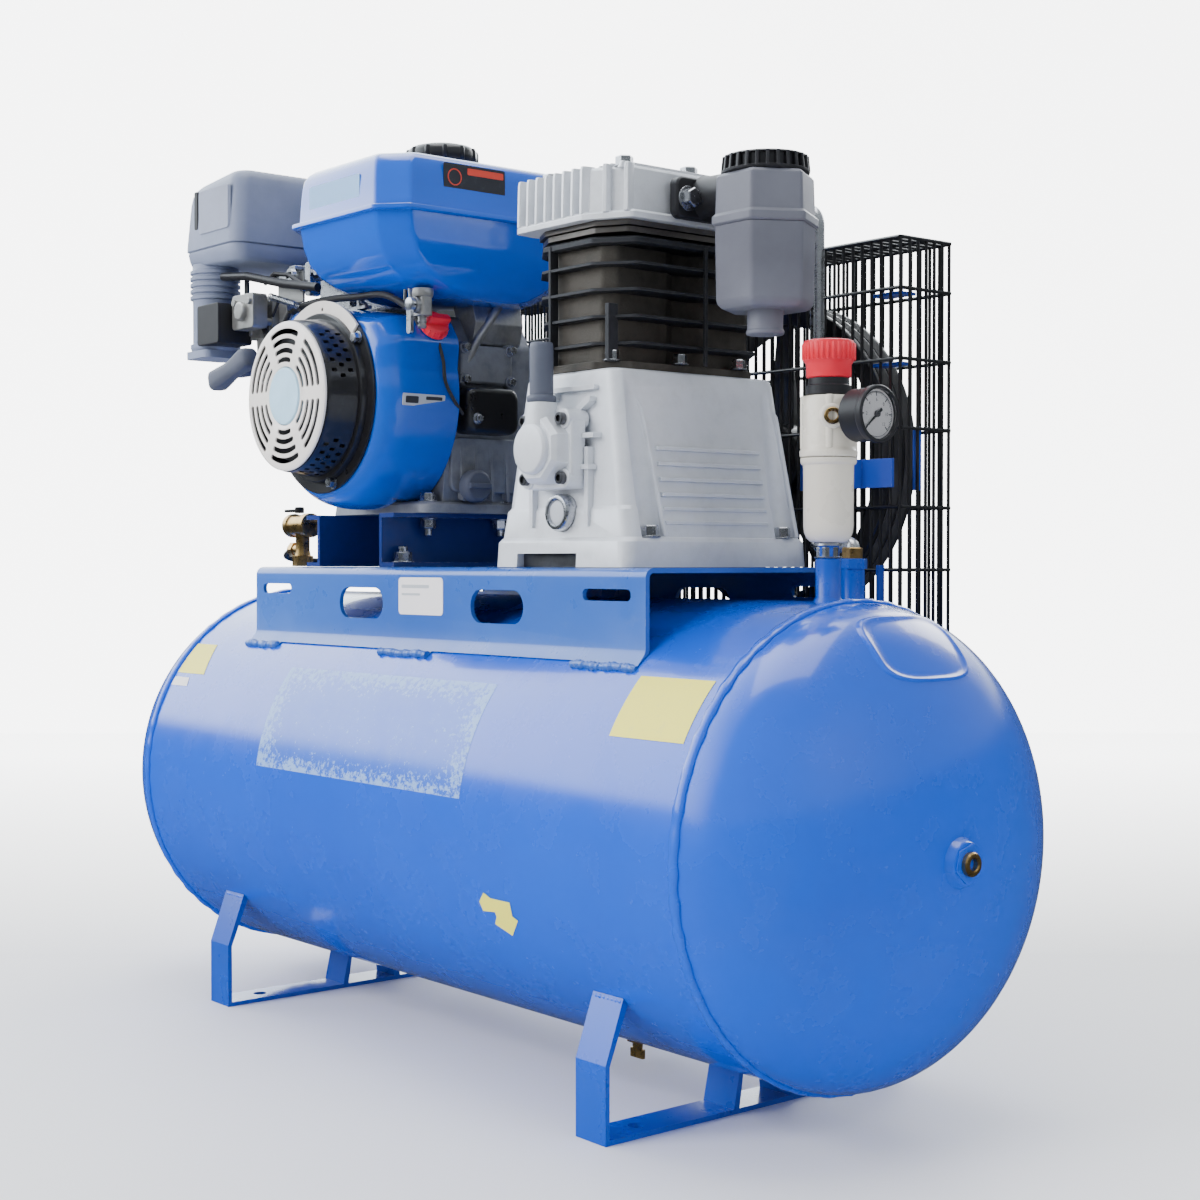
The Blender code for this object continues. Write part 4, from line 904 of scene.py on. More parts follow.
for k, (x, y) in enumerate(product(RAIL_X, (-52.0, 32.0))):
    piece(f"engine_bolt_{k}", stud(x, y, 491.4, 475.8), ZINC, bevel=0.35)
for k, (x, y) in enumerate(product(RAIL_X, (-80.0, 90.0))):
    nut = join(hexbolt(15.0, 9.0),
               lathe([(8.5, 4.6), (14, 4.6), (15, 3.6), (15, 0)], 0, 0, "z", 18))
    piece(f"rail_bolt_{k}", moved(nut, x, y, 434.4), ZINC, bevel=0.35)

# ------------------------------------------------------------ engine crankcase
ENGINE_BASE = 480.3
CRANKCASE = [(-228, ENGINE_BASE + 8), (-84, ENGINE_BASE + 8), (-80, ENGINE_BASE + 40), (-80, 640),
             (-98, 668), (-180, 668), (-212.5, 654.8), (-242.0, 591.3), (-236, 560)]    # x, z
CRANKCASE_RADII = [4, 5, 10, 12, 12, 10, 8, 8, 8]
FLANK_BOLTS = [(-24, 606), (29, 606), (29, 636), (-24, 636)]    # y, z
parts = [rounded_loft([(ENGINE_BASE, -238, -74, -68, 54, 11),
                       (ENGINE_BASE + 8.5, -237, -75, -67, 53, 11),
                       (ENGINE_BASE + 11, -233, -79, -63, 49, 9)]),
         prism(fillet(CRANKCASE, CRANKCASE_RADII, 5), -41, 60, "y"),
         lathe([(55, 46), (64, 45), (66, 43), (69, 35), (70, 34), (70, 14)],
               CRANK_X, CRANK_Z, "y"),
         rounded_loft([(-81, -36, 54, 500, 552, 10), (-77.5, -36, 54, 500, 552, 10),
                       (-76.5, -35, 53, 501, 551, 9)], "x", 5)]
# ribs and a bossed cover on the +X flank
parts += [prism([(-81, 494), (-72, 492), (-74.5, 520), (-77, 548), (-81, 550)],
                y - 1.6, y + 1.6, "y") for y in (-24, -8, 10, 28, 44)]
parts.append(rounded_loft([(-82, -28, 34, 602, 640, 8), (-74, -27, 33, 603, 639, 7),
                           (-72.5, -25, 31, 605, 637, 6)], "x", 5))
parts += [lathe([(-78, 6.0), (-71, 5.6), (-70.2, 4.8), (-70.2, 0)], y, z, "x", 24)
          for y, z in FLANK_BOLTS]
piece("crankcase_casting", join(*parts), ENGINE_CAST, replaces="engine_crankcase", bevel=0.9)
for k, (y, z) in enumerate(FLANK_BOLTS):
    bolt(f"flank_bolt_{k}", 8, 5, (-70.4, y, z), RIGHT, washer=False, bevel=0.3)


def duct_outline(rise):
    return fillet([(-92, 640), (-76, 640), (-70, 660), (-82, 702 + rise), (-100, 712 + rise),
                   (-112, 690)], 5, 4)


piece("cylinder_air_duct", loft([(-12, duct_outline(0)), (44, duct_outline(4))], "y"), CARB_METAL,
      bevel=0.8)
piece("duct_stay", tube(bent_path([(-77, -20, 620), (-72, -6, 648), (-70, 14, 676), (-84, 44, 700),
                                   (-110, 60, 712)], 14), 4.2, 14), CARB_METAL, smooth=60)

# ------------------------------------------------------------- engine cylinder
INCLINE = 25    # degrees about the crank


def incline(mesh):
    return turned(mesh, INCLINE, "Y", (CRANK_X, 0, CRANK_Z))


fins = [prism(rounded(-42, 62, 545, 628, 9, 4), x, x + 2.4, "x") for x in range(-247, -296, -8)]
piece("cylinder_fins", incline(join(block(-300, -236, -30, 50, 555, 625), *fins)), ENGINE_CAST,
      replaces="engine_cylinder", bevel=0.5)
cover = rounded_loft([(-300.4, -31, 51, 554, 626, 10), (-303, -31, 51, 554, 626, 10),
                      (-303.2, -28, 48, 557, 623, 12), (-317, -27, 47, 558, 622, 12),
                      (-322, -24, 44, 561, 619, 11), (-324, -20, 40, 565, 615, 9)], "x", 5)
piece("valve_cover", incline(cover), STEEL, replaces="engine_rocker_cover", bevel=0.6)

# ------------------------------------------------------------------ fan shroud
SHROUD_R, SHROUD_ARC_STEPS = 104, 48
# offsets from the crank in x and z, corner radius
SHROUD_CORNERS = [(104, 50, 16), (88, 72, 14), (20, 84, 30), (-66, 95, 16), (-84, 84, 14),
                  (-104, 40, 30)]
# y, scale of the outline
SHROUD_OUTER = [(-43, 1.0), (-48, 1.0), (-92, 0.995), (-101, 0.985), (-108, 0.968), (-114, 0.945),
                (-119, 0.915), (-122.5, 0.885), (-124, 0.86)]
SHROUD_INNER = [(-30, 0.972), (-92, 0.968), (-106, 0.945), (-114, 0.91), (-121.5, 0.84)]


def shroud_loft(rows):
    points = arc(CRANK_X, CRANK_Z, SHROUD_R, -180, 14, SHROUD_ARC_STEPS)
    points += [(CRANK_X + dx, CRANK_Z + dz) for dx, dz, _ in SHROUD_CORNERS]
    levels = []
    for y, scale in rows:
        radii = [0.0] * (SHROUD_ARC_STEPS + 1) + [r * scale for _, _, r in SHROUD_CORNERS]
        levels.append((y, fillet(grow(points, CRANK_X, CRANK_Z, scale), radii, 6)))
    return loft(levels, "y")


piece("blower_housing",
      cut(shroud_loft(SHROUD_OUTER), shroud_loft(SHROUD_INNER),
          rod(-135, -110, 66, CRANK_X, CRANK_Z, "y"), block(-300, 0, -70.5, -20, 470, 493)),
      SHROUD_BLUE, replaces="fan_shroud", smooth=38)
for k, degrees in enumerate((38, 160, 285)):
    x, z = polar(CRANK_X, CRANK_Z, 82, degrees)
    bolt(f"recoil_bolt_{k}", 9, 5.5, (x, -127.6, z), FRONT)


def on_shroud(mesh):
    """Set a piece on the shroud's right flank, near crank height."""
    return moved(turned(mesh, 8, "Y"), CRANK_X + 103.6, -82, CRANK_Z - 6)


piece("blank_strip", on_shroud(prism(rounded(-23, 23, -5.5, 5.5, 1.0, 3), -0.8, 0.0, "x")),
      STRIP, smooth=40)
marks = join(prism(rounded(-20, -6, -3.2, 3.2, 1.0, 3), 0.0, 0.15, "x"),
             prism(rounded(2, 20, 0.4, 3.6, 0.8, 3), 0.0, 0.15, "x"))
piece("blank_strip_marks", on_shroud(marks), BADGE_DARK, smooth=40)

# -------------------------------------------------------------- recoil starter
piece("recoil_flange",
      ring_lathe([(-124.3, 64), (-124.3, 89), (-126.4, 89.4), (-127.4, 88.4), (-127.4, 79.5),
                  (-132.4, 78.6), (-133.4, 77.6), (-133.4, 64)], CRANK_X, CRANK_Z, "y", 96),
      BLACK)


def drum_hole(angle, y):
    """Radial cutter through the drum wall."""
    turn = Matrix(((-math.sin(angle), 0, math.cos(angle)), (0, 1, 0),
                   (math.cos(angle), 0, math.sin(angle))))
    centre = Vector((CRANK_X + 71 * math.cos(angle), y, CRANK_Z + 71 * math.sin(angle)))
    hole = prism(rounded(-1.9, 1.9, -2.5, 2.5, 0.9, 2), -12, 8)
    for vert in hole.verts:
        vert.co = turn @ vert.co + centre
    return outward(hole)


# three staggered rows of holes
HOLES_PER_ROW = 44
holes = [drum_hole(2 * math.pi * (i + 0.5 * (row % 2)) / HOLES_PER_ROW, y)
         for row, y in enumerate((-139.0, -147.0, -155.0)) for i in range(HOLES_PER_ROW)]
drum = ring_lathe([(-133.5, 64), (-133.5, 73.5), (-134.5, 73.2), (-160.0, 70.2), (-162.2, 69.6),
                   (-163.0, 68.6), (-163.0, 64)], CRANK_X, CRANK_Z, "y", 144)
piece("recoil_drum", cut(drum, join(*holes)), BLACK, replaces="recoil_housing")
piece("recoil_core", lathe([(-126, 60), (-156, 60), (-157, 58), (-157, 0)],
                           CRANK_X, CRANK_Z, "y", 64), BLACK_PLASTIC, smooth=40)
# crescent plate over the top of the flange, with one small hole
outline = [polar(CRANK_X, CRANK_Z, 90.5, degrees) for degrees in range(44, 147, 3)]
outline += [polar(CRANK_X, CRANK_Z, 74.5, degrees) for degrees in range(146, 43, -3)]
hole = rod(-140, -120, 1.8, *polar(CRANK_X, CRANK_Z, 82.5, 86), "y", 16)
piece("recoil_crescent", cut(prism(outline, -129.8, -127.5, "y"), hole), WHITE, bevel=0.4)


def arc_slot(inner, outer, middle):
    """Round-ended slot cutter; six share a ring, with a web between neighbours."""
    mean, half_width = (inner + outer) / 2, (outer - inner) / 2
    half = 30 - math.degrees(5.6 / mean) - math.degrees(half_width / mean)
    start, end = middle - half, middle + half

    def round_end(at, turn):
        centre = Vector(polar(CRANK_X, CRANK_Z, mean, at))
        return [polar(*centre, half_width, turn + 180 * i / 6) for i in range(1, 6)]

    points = arc(CRANK_X, CRANK_Z, outer, start, end, 10) + round_end(end, end)
    points += arc(CRANK_X, CRANK_Z, inner, end, start, 10) + round_end(start, start + 180)
    return prism(points, -175, -155, "y")


SLOT_RINGS = [(31.5, 36.0), (39.8, 44.6), (48.4, 53.4), (57.2, 62.4)]     # inner, outer radius
slots = [arc_slot(*radii, 60 * i + 30) for radii in SLOT_RINGS for i in range(6)]
disc = ring_lathe([(-166.1, 27.0), (-165.7, 64.8), (-163.1, 66.2), (-163.1, 68.6), (-164.0, 69.2),
                   (-165.4, 69.0), (-166.6, 67.6), (-167.0, 65.8), (-167.5, 40), (-167.6, 29.0),
                   (-166.8, 27.4)], CRANK_X, CRANK_Z, "y", 128)
piece("recoil_disc", cut(disc, join(*slots)), WHITE, replaces="recoil_cover", smooth=30)
piece("recoil_centre",
      lathe([(-160, 26.6), (-166.6, 26.6), (-168.2, 25.8), (-168.6, 24.2), (-168.4, 22.8),
             (-168.9, 16), (-169.1, 0)], CRANK_X, CRANK_Z, "y", 72), CAP_BLUE, smooth=40)

# starter handle: x, half depth, half height, corner radius; mirrored to -x
GRIP_HALF = [(0, 8.3, 8.6, 6.0), (8, 8.6, 8.8, 6.0), (20, 9.8, 9.4, 6.0), (31, 10.6, 9.8, 6.0),
             (36, 8.4, 8.8, 5.5), (37.5, 6.5, 7.0, 4.5)]
grip_rows = [(-x, *shape) for x, *shape in reversed(GRIP_HALF[1:])] + GRIP_HALF
grip = join(rounded_loft([(x, -depth, depth, -height, height, radius)
                          for x, depth, height, radius in grip_rows], "x"),
            lathe([(0, 7.6), (10, 7.4), (19, 5.6), (23, 4.6)], 0, 0, "y", 28))
piece("starter_handle", moved(turned(grip, -16, "Y"), -290.0, -148.0, 624.0), BREATHER_GREY,
      "starter_grip", replaces="recoil_handle", smooth=45)

# ------------------------------------------------------------------- fuel tank
FUEL_X0, FUEL_X1, FUEL_Y0, FUEL_Y1 = -190.0, -10.0, -148.0, 74.0


def fuel_loft(rows):
    """Rows are (z, inset, corner radius, extra inset of the front, chamfer)."""
    levels = []
    for z, inset, radius, front, chamfer in rows:
        x0, x1, y0, y1 = (FUEL_X0 + inset, FUEL_X1 - inset, FUEL_Y0 + inset + front,
                          FUEL_Y1 - inset)
        levels.append((z, fillet([(x0 + chamfer, y0), (x1 - chamfer * 1.1, y0),
                                  (x1, y0 + chamfer), (x1, y1 - chamfer), (x1 - chamfer, y1),
                                  (x0 + chamfer, y1), (x0, y1 - chamfer), (x0, y0 + chamfer)],
                                 radius, 5)))
    return loft(levels)


FUEL_LOWER = [(675.8, 38, 10, 54, 22), (676.6, 33, 12, 49, 24), (679.4, 26, 12, 41, 24),
              (685, 18.5, 12, 31, 24), (692, 12, 12, 22, 23), (701, 8, 11, 13, 22),
              (712, 5.2, 10, 6, 22), (726, 3.6, 10, 2.2, 22), (742.5, 2.8, 10, 0, 22),
              (744.6, 2.6, 9, 0, 22)]
# z, inset, corner radius
FUEL_RIM = [(744.4, 1.0, 9), (744.9, -2.6, 9), (745.6, -3.2, 9), (748.4, -3.2, 9),
            (749.2, -2.6, 9), (749.6, 1.0, 9)]
FUEL_UPPER = [(749.2, 1.2, 8), (751, 2.2, 7), (770, 3.2, 7), (782, 4.2, 7), (789, 5.6, 7.5),
              (794, 8.4, 8), (797.4, 12.5, 9), (799.2, 19, 10), (799.9, 34, 12)]
piece("fuel_tank_lower", fuel_loft(FUEL_LOWER), FUEL_BLUE, replaces="fuel_tank", smooth=50)
piece("fuel_tank_rim", fuel_loft([(*row, 0, 22) for row in FUEL_RIM]), FUEL_BLUE, smooth=40)
piece("fuel_tank_upper", fuel_loft([(*row, 0, 22) for row in FUEL_UPPER]), FUEL_BLUE, smooth=50)

CAP_X, CAP_Y = -96.0, -32.0
piece("filler_neck", lathe([(797, 29), (800.5, 28), (801.5, 26.4), (806.6, 26.0), (807.2, 25.2),
                            (807.2, 0)], CAP_X, CAP_Y), STEEL, smooth=35)
parts = [lathe([(807.5, 26), (807.5, 32.2), (808.6, 33.0), (818.4, 33.0), (821.4, 31.4),
                (823.6, 28.4), (825.0, 23), (825.8, 12), (826, 0)], CAP_X, CAP_Y, "z", 64)]
parts += [lathe([(809, 2.2), (810, 3.0), (819, 3.0), (821.5, 2.0)],
                *polar(CAP_X, CAP_Y, 31.4, 30 * i), "z", 14) for i in range(12)]
piece("filler_cap", join(*parts), BLACK, "fuel_cap_turn", replaces="fuel_cap", smooth=40)
# plain badges: two on the right side, one on the front
piece("tank_badge_dark", prism(rounded(-88, -20, 766.5, 791, 1.5, 3), -13.7, -13.15, "x"),
      BADGE_DARK, smooth=40)
piece("tank_badge_red",
      join(prism(rounded(-62, -22, 782.5, 788.5, 1, 2), -13.2, -12.95, "x"),
           ring_lathe([(-13.2, 6.6), (-12.95, 6.6), (-12.95, 7.6), (-13.2, 7.6)],
                      -76, 779, "x", 40)), BADGE_RED, smooth=40)
piece("tank_badge_pale", prism(rounded(-148, -62, 757.5, 781, 2, 3), -145.3, -144.3, "y"),
      BADGE_PALE, smooth=40)

# ----------------------------------------------------------------- air cleaner
AIRBOX_X1 = -277.0


def airbox_loft(rows, keep, slope):
    """Rows are (z, inset, corner radius); vertices whose z passes keep() follow a slope in x."""
    mesh = loft([(z, rounded(-388.0 + g, AIRBOX_X1 - g, -152.0 + g, -30.0 - g, radius, 8))
                 for z, g, radius in rows])
    return reshape(mesh, lambda x, y, z: (x, y, z + (x - AIRBOX_X1) * slope if keep(z) else z))


piece("air_box_base",
      airbox_loft([(731.0, 6, 12), (732.4, 3.6, 14), (736, 2.2, 15), (746.4, 1.0, 15),
                   (748.2, 1.2, 15), (748.4, 3, 15)], lambda z: z < 742, -0.035),
      AIRBOX_GREY, replaces="air_cleaner_base", smooth=45)
piece("air_box_cover",
      airbox_loft([(748.8, 1.6, 15), (750.0, 0, 15), (756, 0.2, 15), (805, 3.2, 15),
                   (813, 4.6, 15), (819, 7.6, 15), (823, 12.0, 14), (825, 19, 12)],
                  lambda z: z > 790, 0.085),
      AIRBOX_GREY, replaces="air_cleaner_cover", smooth=45)
piece("air_box_panel", rounded_loft([(-152.9, -350, -290, 764, 806, 3),
                                     (-150.2, -351, -289, 763, 807, 3)], "y", 4),
      PANEL_GREY, smooth=40)
piece("air_box_slot", prism(rounded(-362, -355.5, 770, 808, 1.5, 3), -151.6, -149.4, "y"),
      BLACK_PLASTIC, bevel=0.3)

NECK_X, NECK_Y, NECK_Z, NECK_PITCH = -362, -128, 700, 6.4
profile = [(NECK_Z, 20)]
for i in range(5):
    z = NECK_Z + NECK_PITCH * i
    profile += [(z, 23.0), (z + 0.8, 25.2), (z + 3.8, 25.2), (z + 4.8, 23.4)]
profile += [(732, 23.0), (736, 23.0)]
piece("intake_neck", lathe(profile, NECK_X, NECK_Y, "z", 56), AIRBOX_GREY, smooth=35)
piece("intake_throat",
      join(lathe([(648, 21.5), (649.5, 24.0), (652, 25.0), (655, 25.0), (656, 22.6), (696, 22.6),
                  (701, 22.8)], NECK_X, NECK_Y),
           prism(rounded(-385, -340, -151, -106, 7, 4), 641, 648.5)), AIRBOX_GREY, smooth=40)
piece("throat_window", prism(rounded(-352, -308, 652, 692, 3, 3), -154.2, -116, "y"),
      BLACK_PLASTIC, bevel=0.9)

# ------------------------------------------------------ carburettor and linkage
parts = [prism(rounded(-316, -264, 657, 697, 5, 4), -118, -84, "y"),
         lathe([(636, 10), (638, 15), (641, 17), (654, 17.6), (657, 17.6)], -290, -101, "z", 40),
         lathe([(-336, 15), (-334, 16.4), (-326, 16.4), (-325, 14.6), (-300, 14.6)],
               -101, 678, "x", 36),
         prism(rounded(-112, -90, 664, 690, 5, 4), -262.5, -247, "x")]
parts += [lathe([(-119.5, 3.4), (-117, 3.8)], x, z, "y", 20)
          for x, z in ((-308, 690), (-272, 690), (-308, 664), (-272, 664))]
parts += [block(-264, -216, -112, -109.5, 686, 716), block(-264, -216, -112, -98, 713.5, 716)]
piece("carburettor_casting", join(*parts), CARB_METAL, replaces="carburettor", bevel=0.7)
parts = [prism(rounded(-304, -262, 664, 698, 4, 4), -141, -124.6, "y"),
         rod(-126, -117.5, 5.0, -284, 672, "y", 24), rod(-126, -117.5, 4.0, -269, 671, "y", 24),
         lathe([(-146, 8), (-145, 9.5), (-140, 9.5)], -283, 681, "y", 28),
         rod(-144, -140, 3.6, -297, 690, "y", 16), rod(-144, -140, 3.6, -268, 690, "y", 16)]
piece("governor_box", join(*parts), CARB_METAL, bevel=0.8)
# path, bend radius, rod radius, sides
LINKAGE = [
    ([(-330, -136, 721), (-282, -136, 716), (-230, -128, 704), (-172, -122, 694)], 10, 4.2, 16),
    ([(-268, -124, 708), (-250, -124, 716), (-226, -122, 712), (-200, -121, 700)], 6, 2.0, 12),
    ([(-262, -119, 676), (-246, -121, 690), (-222, -121, 686), (-206, -118, 672)], 8, 1.4, 10),
    ([(-276, -122, 668), (-262, -124, 652), (-238, -124, 660), (-224, -122, 676)], 8, 2.6, 12)]
piece("linkage_rods", join(*[tube(bent_path(path, bend), radius, sides)
                             for path, bend, radius, sides in LINKAGE]), BLACK_PLASTIC, smooth=60)
piece("control_plate",
      join(prism(rounded(-248, -180, 704, 722, 4, 4), -108, -104, "y"),
           prism(rounded(-206, -196, 690, 722, 3, 3), -116, -104, "y"),
           block(-236, -224, -116, -104, 718, 722)), STEEL, bevel=0.6)
for k, (x, z) in enumerate(((-238, 713), (-190, 712), (-216, 700))):
    bolt(f"control_screw_{k}", 8, 5, (x, -108.2, z), FRONT, bevel=0.3)

SPRING_TURNS, SPRING_STEPS, SPRING_R = 17, 8, 3.0
coil = []
for i in range(SPRING_TURNS * SPRING_STEPS + 1):
    turns = i / SPRING_STEPS
    coil.append((-254 + 3.6 * turns * 0.8, -126 + SPRING_R * math.cos(2 * math.pi * turns),
                 694 + SPRING_R * math.sin(2 * math.pi * turns) - 0.8 * turns))
piece("governor_spring", tube(coil, 0.6, 6), STEEL, smooth=60)
# small posts and clips between the shroud and the tank
parts = [lathe([(672, 3.6), (704, 3.6), (706, 2.6)], -158, -92, "z", 18),
         rod(672, 700, 2.8, -146, -90, "z", 16),
         tube(bent_path([(-158, -92, 700), (-148, -96, 692), (-140, -94, 680), (-136, -90, 676)],
                        5, 5), 1.6, 10),
         tube(bent_path([(-70, -92, 668), (-68, -92, 688), (-62, -92, 688), (-60, -92, 670)],
                        3, 5), 1.8, 10),
         block(-170, -128, -98, -90, 672, 675)]
piece("shroud_clips", join(*parts), STEEL, smooth=45)
FUEL_LINE = [(-47, -89, 648), (-60, -92, 664), (-92, -98, 680), (-130, -104, 682),
             (-176, -108, 684), (-214, -112, 682), (-250, -104, 680)]
piece("fuel_line", tube(smooth_path(FUEL_LINE), 3.4, 14), CABLE, smooth=60)
piece("choke_arm", join(rod(-122.6, -118.3, 5.4, -309, 690, "y", 24),
                        prism(rounded(-312.5, -305.5, 688, 722, 3.2, 4), -122.6, -120.2, "y")),
      BLACK_PLASTIC, "choke", replaces="choke_lever", bevel=0.4)
piece("throttle_arm", join(rod(-121.6, -116.5, 6.4, -226, 712, "y", 24),
                           prism(rounded(-267, -221, 708.6, 715.4, 3, 4), -121.6, -119.2, "y")),
      STEEL, "throttle", replaces="throttle_lever", bevel=0.4)

# ------------------------------------------------ small fittings on the engine
TAP_X, TAP_Y, TAP_Z = -47, -88.5, 667
piece("tap_body",
      join(lathe([(-98, 7.4), (-84, 7.8)], TAP_X, TAP_Z, "y", 32),
           prism(rounded(-56.5, -37.5, -94, -82.5, 3, 4), 657, 676),
           lathe([(646, 3.4), (648, 4.4), (650, 3.6), (652, 4.4), (654, 3.8), (659, 4.2)],
                 TAP_X, TAP_Y, "z", 24),
           lathe([(674, 9.6), (678, 10.2), (682, 9.4)], -46, TAP_Y, "z", 28)),
      CARB_METAL, replaces="fuel_tap", bevel=0.6)
piece("tap_lever",
      join(lathe([(-103.6, 5.4), (-103, 6.6), (-98.3, 6.6)], TAP_X, TAP_Z, "y", 28),
           prism(rounded(-50.8, -43.2, 640, 668, 3.4, 4), -103.2, -99.8, "y")),
      STEEL, "fuel_tap_handle", replaces="fuel_tap_lever", bevel=0.5)
# stop switch: ribbed knob with a finger bar
parts = [lathe([(0.5, 13.8), (5.6, 13.8), (7.2, 13.2), (9.6, 12.2), (10.2, 11.0), (10.2, 0)],
               0, 0, "x"),
         rounded_loft([(7.5, -12.2, 12.2, -4.4, 4.4, 3.2), (15.6, -12.0, 12.0, -4.0, 4.0, 3.2),
                       (17.0, -10.6, 10.6, -2.8, 2.8, 2.4)], "x", 5)]
parts += [lathe([(1.0, 1.3), (6.0, 1.3), (7.0, 0.8)], *polar(0, 0, 13.2, 22.5 * i), "x", 8)
          for i in range(16)]
piece("stop_switch_knob",
      moved(turned(join(*parts), -36, "Y"), CRANK_X + 96.0, -68.0, CRANK_Z + 61.0),
      RED_PLASTIC, "stop_switch", replaces="engine_switch", smooth=40)
SWITCH_WIRE = [(-60, -62, 640), (-55, -64, 634), (-51.4, -62, 618), (-51, -60, 600),
               (-52, -50, 584), (-58, -36, 572)]
piece("switch_wire", tube(smooth_path(SWITCH_WIRE), 1.7, 12), CABLE, smooth=60)
piece("ignition_cover",
      rounded_loft([(-79.6, -31, 31, 555, 599, 9), (-66, -31, 31, 555, 599, 9),
                    (-60.5, -30, 30, 556, 598, 9), (-58.2, -27.5, 27.5, 558.5, 595.5, 8),
                    (-57.8, -25, 25, 561, 593, 7)], "x"),
      BLACK, replaces="ignition_box", smooth=40)
bolt("ignition_screw", 7.5, 4.0, (-57.9, -19, 568.5), RIGHT, bevel=0.3)
piece("oil_cap_plug",
      join(rod(-83.6, -70, 10, -16, 506, "x", 28),
           lathe([(-72, 14.0), (-71, 15.2), (-61.5, 15.2), (-59.2, 14.0), (-58.2, 12.2),
                  (-58.2, 0)], -16, 506, "x"),
           block(-60, -55.5, -28, -4, 503.6, 508.4)),
      BREATHER_GREY, "oil_cap", replaces="oil_filler_cap", bevel=0.5)

# silencer with its outlet stub, and louvres on the rear face
piece("silencer",
      join(rounded_loft([(-12, -350, -208, 690, 770, 20), (-10, -352, -206, 688, 772, 22),
                         (94, -352, -206, 688, 772, 22), (96, -350, -208, 690, 770, 20)],
                        "y", 8),
           tube([(-340, 80, 730), (-362, 80, 730), (-374, 92, 730)], 9, 24)),
      STEEL, replaces="muffler", bevel=0.5)
louvres = [rounded_loft([(96.0, -336, -222, z - 2.2, z + 2.2, 2),
                         (98.0, -336, -222, z - 1.6, z + 1.6, 1.5)], "y", 3)
           for z in range(700, 761, 10)]
piece("silencer_louvres", join(*louvres), DARK_STEEL, smooth=40)

# ------------------------------------------------------------------- pump case
PUMP_BASE = 430.3
CASE_Z0, CASE_HEIGHT = 454.0, 134.0     # the tapered part
GLASS_X, GLASS_Z = PUMP_X + 3, 474.4    # oil sight glass


def case_half(z):
    """Half width in x of the tapered case at a height."""
    return 262 - 24 * (z - CASE_Z0) / CASE_HEIGHT - PUMP_X


def case_level(z, inset=0.0):
    rise = (z - CASE_Z0) / CASE_HEIGHT
    x0, x1, y0, y1 = 98 + 24 * rise, 262 - 24 * rise, -107 + 6 * rise, 84 - 6 * rise
    return z, rounded(x0 + inset, x1 - inset, y0 + inset, y1 - inset, 11.0, 8)


def bores(low, high, radius, sides):
    return [rod(low, high, radius, PUMP_X, PUMP_Y + side * BORE_PITCH / 2, "z", sides)
            for side in (-1, 1)]


case = loft([(PUMP_BASE, rounded(92.5, 267.5, -112.5, 89.5, 11, 8)),
             (450.5, rounded(93.5, 266.5, -111.5, 88.5, 11, 8)),
             (453.5, rounded(95.5, 264.5, -109.5, 86.5, 11, 8)),
             case_level(454.2, -1.6), case_level(476.0, -1.2), case_level(479.0, 0.6),
             case_level(582), case_level(586.5, 0.8), case_level(588, 2.6)])
cutters = [block(127, 205, -125, -90, 425, 441.5)]
# leaning recesses that clear the four base bolts
for side in (1, -1):
    for y_low, y_high in ((-81, -88), (65, 60)):
        x_high = PUMP_X + side * 71.8
        cutters.append(tube([(PUMP_X + side * 85.5, y_low, 454.1), (x_high, y_high, 573),
                             (x_high - side * 1.0, y_high, 584)], [12.6, 12.0, 10.0], 28))
cutters.append(rod(-120, -104.5, 15.4, GLASS_X, GLASS_Z, "y", 40))
# crank chamber, open below, with its two bores and both bearing openings
cutters.append(rounded_loft([(PUMP_BASE - 5, 110, 250, -96, 73, 8), (470, 112, 248, -94, 71, 8),
                             (579, 132, 228, -89, 66, 8)], "z", 4))
cutters += bores(560, 600, 34.0, 56)
cutters += [rod(low, high, 27, PUMP_X, PUMP_Z, "y", 40) for low, high in ((-130, -70), (60, 110))]
piece("pump_case", cut(case, *cutters), PUMP_ALU, replaces="pump_crankcase", bevel=1.1,
      segments=3, limit=32)
# dark block behind the opening in the base: painted shade for the shadowed inside of the case
piece("pump_vent_painted_shade", block(124, 208, -105, -100, PUMP_BASE, 444), DARK_STEEL, bevel=0.4)

ribs = []
for z in (525.0, 512.6, 500.2, 488.2, 476.8, 465.8):
    for side in (1, -1):
        half = case_half(z)
        section = ((-1.5, -2.2), (2.7, -1.4), (2.5, 1.2), (-1.7, 2.2))
        ribs.append(prism([(PUMP_X + side * (half + dx), z + dz) for dx, dz in section],
                          -67, 46, "y"))
# webs and ribs of the front face
ribs += [prism(rounded(163, 221, 571.5, 575.5, 1.8, 4), -106.8, -99, "y"),
         block(213.0, 217.5, -110.5, -102, 463, 526), block(141.5, 146, -110.8, -102, 463, 500)]
ribs += [prism(outline, front, back, "y") for outline, front, back in (
    ([(203, 533), (226, 533), (226, 537), (203, 537)], -112, -102),
    ([(205, 508), (221, 508), (221, 512), (205, 512)], -113, -102),
    ([(196, 556), (214, 566), (218, 566), (218, 562), (200, 552)], -109, -101),
    ([(152, 566), (172, 571), (172, 566), (156, 561)], -108, -101))]
# ridges that frame the bolt recesses
for side in (1, -1):
    for y_low, y_high in ((-67.8, -76.5), (78.6, 72.6)):
        ribs.append(tube([(PUMP_X + side * case_half(455), y_low, 455),
                          (PUMP_X + side * (case_half(556) - 0.6), y_high, 556),
                          (PUMP_X + side * (case_half(572) - 2.5), y_high - 8, 573)],
                         [2.4, 1.9, 0.8], 10))
piece("pump_case_ribs", join(*ribs), PUMP_ALU, bevel=0.5)
for k, (side, y) in enumerate(product((1, -1), (-81, 65))):
    bolt(f"pump_base_bolt_{k}", 13.0, 8.5, (PUMP_X + side * 78.5, y, 454.0), bevel=0.4)

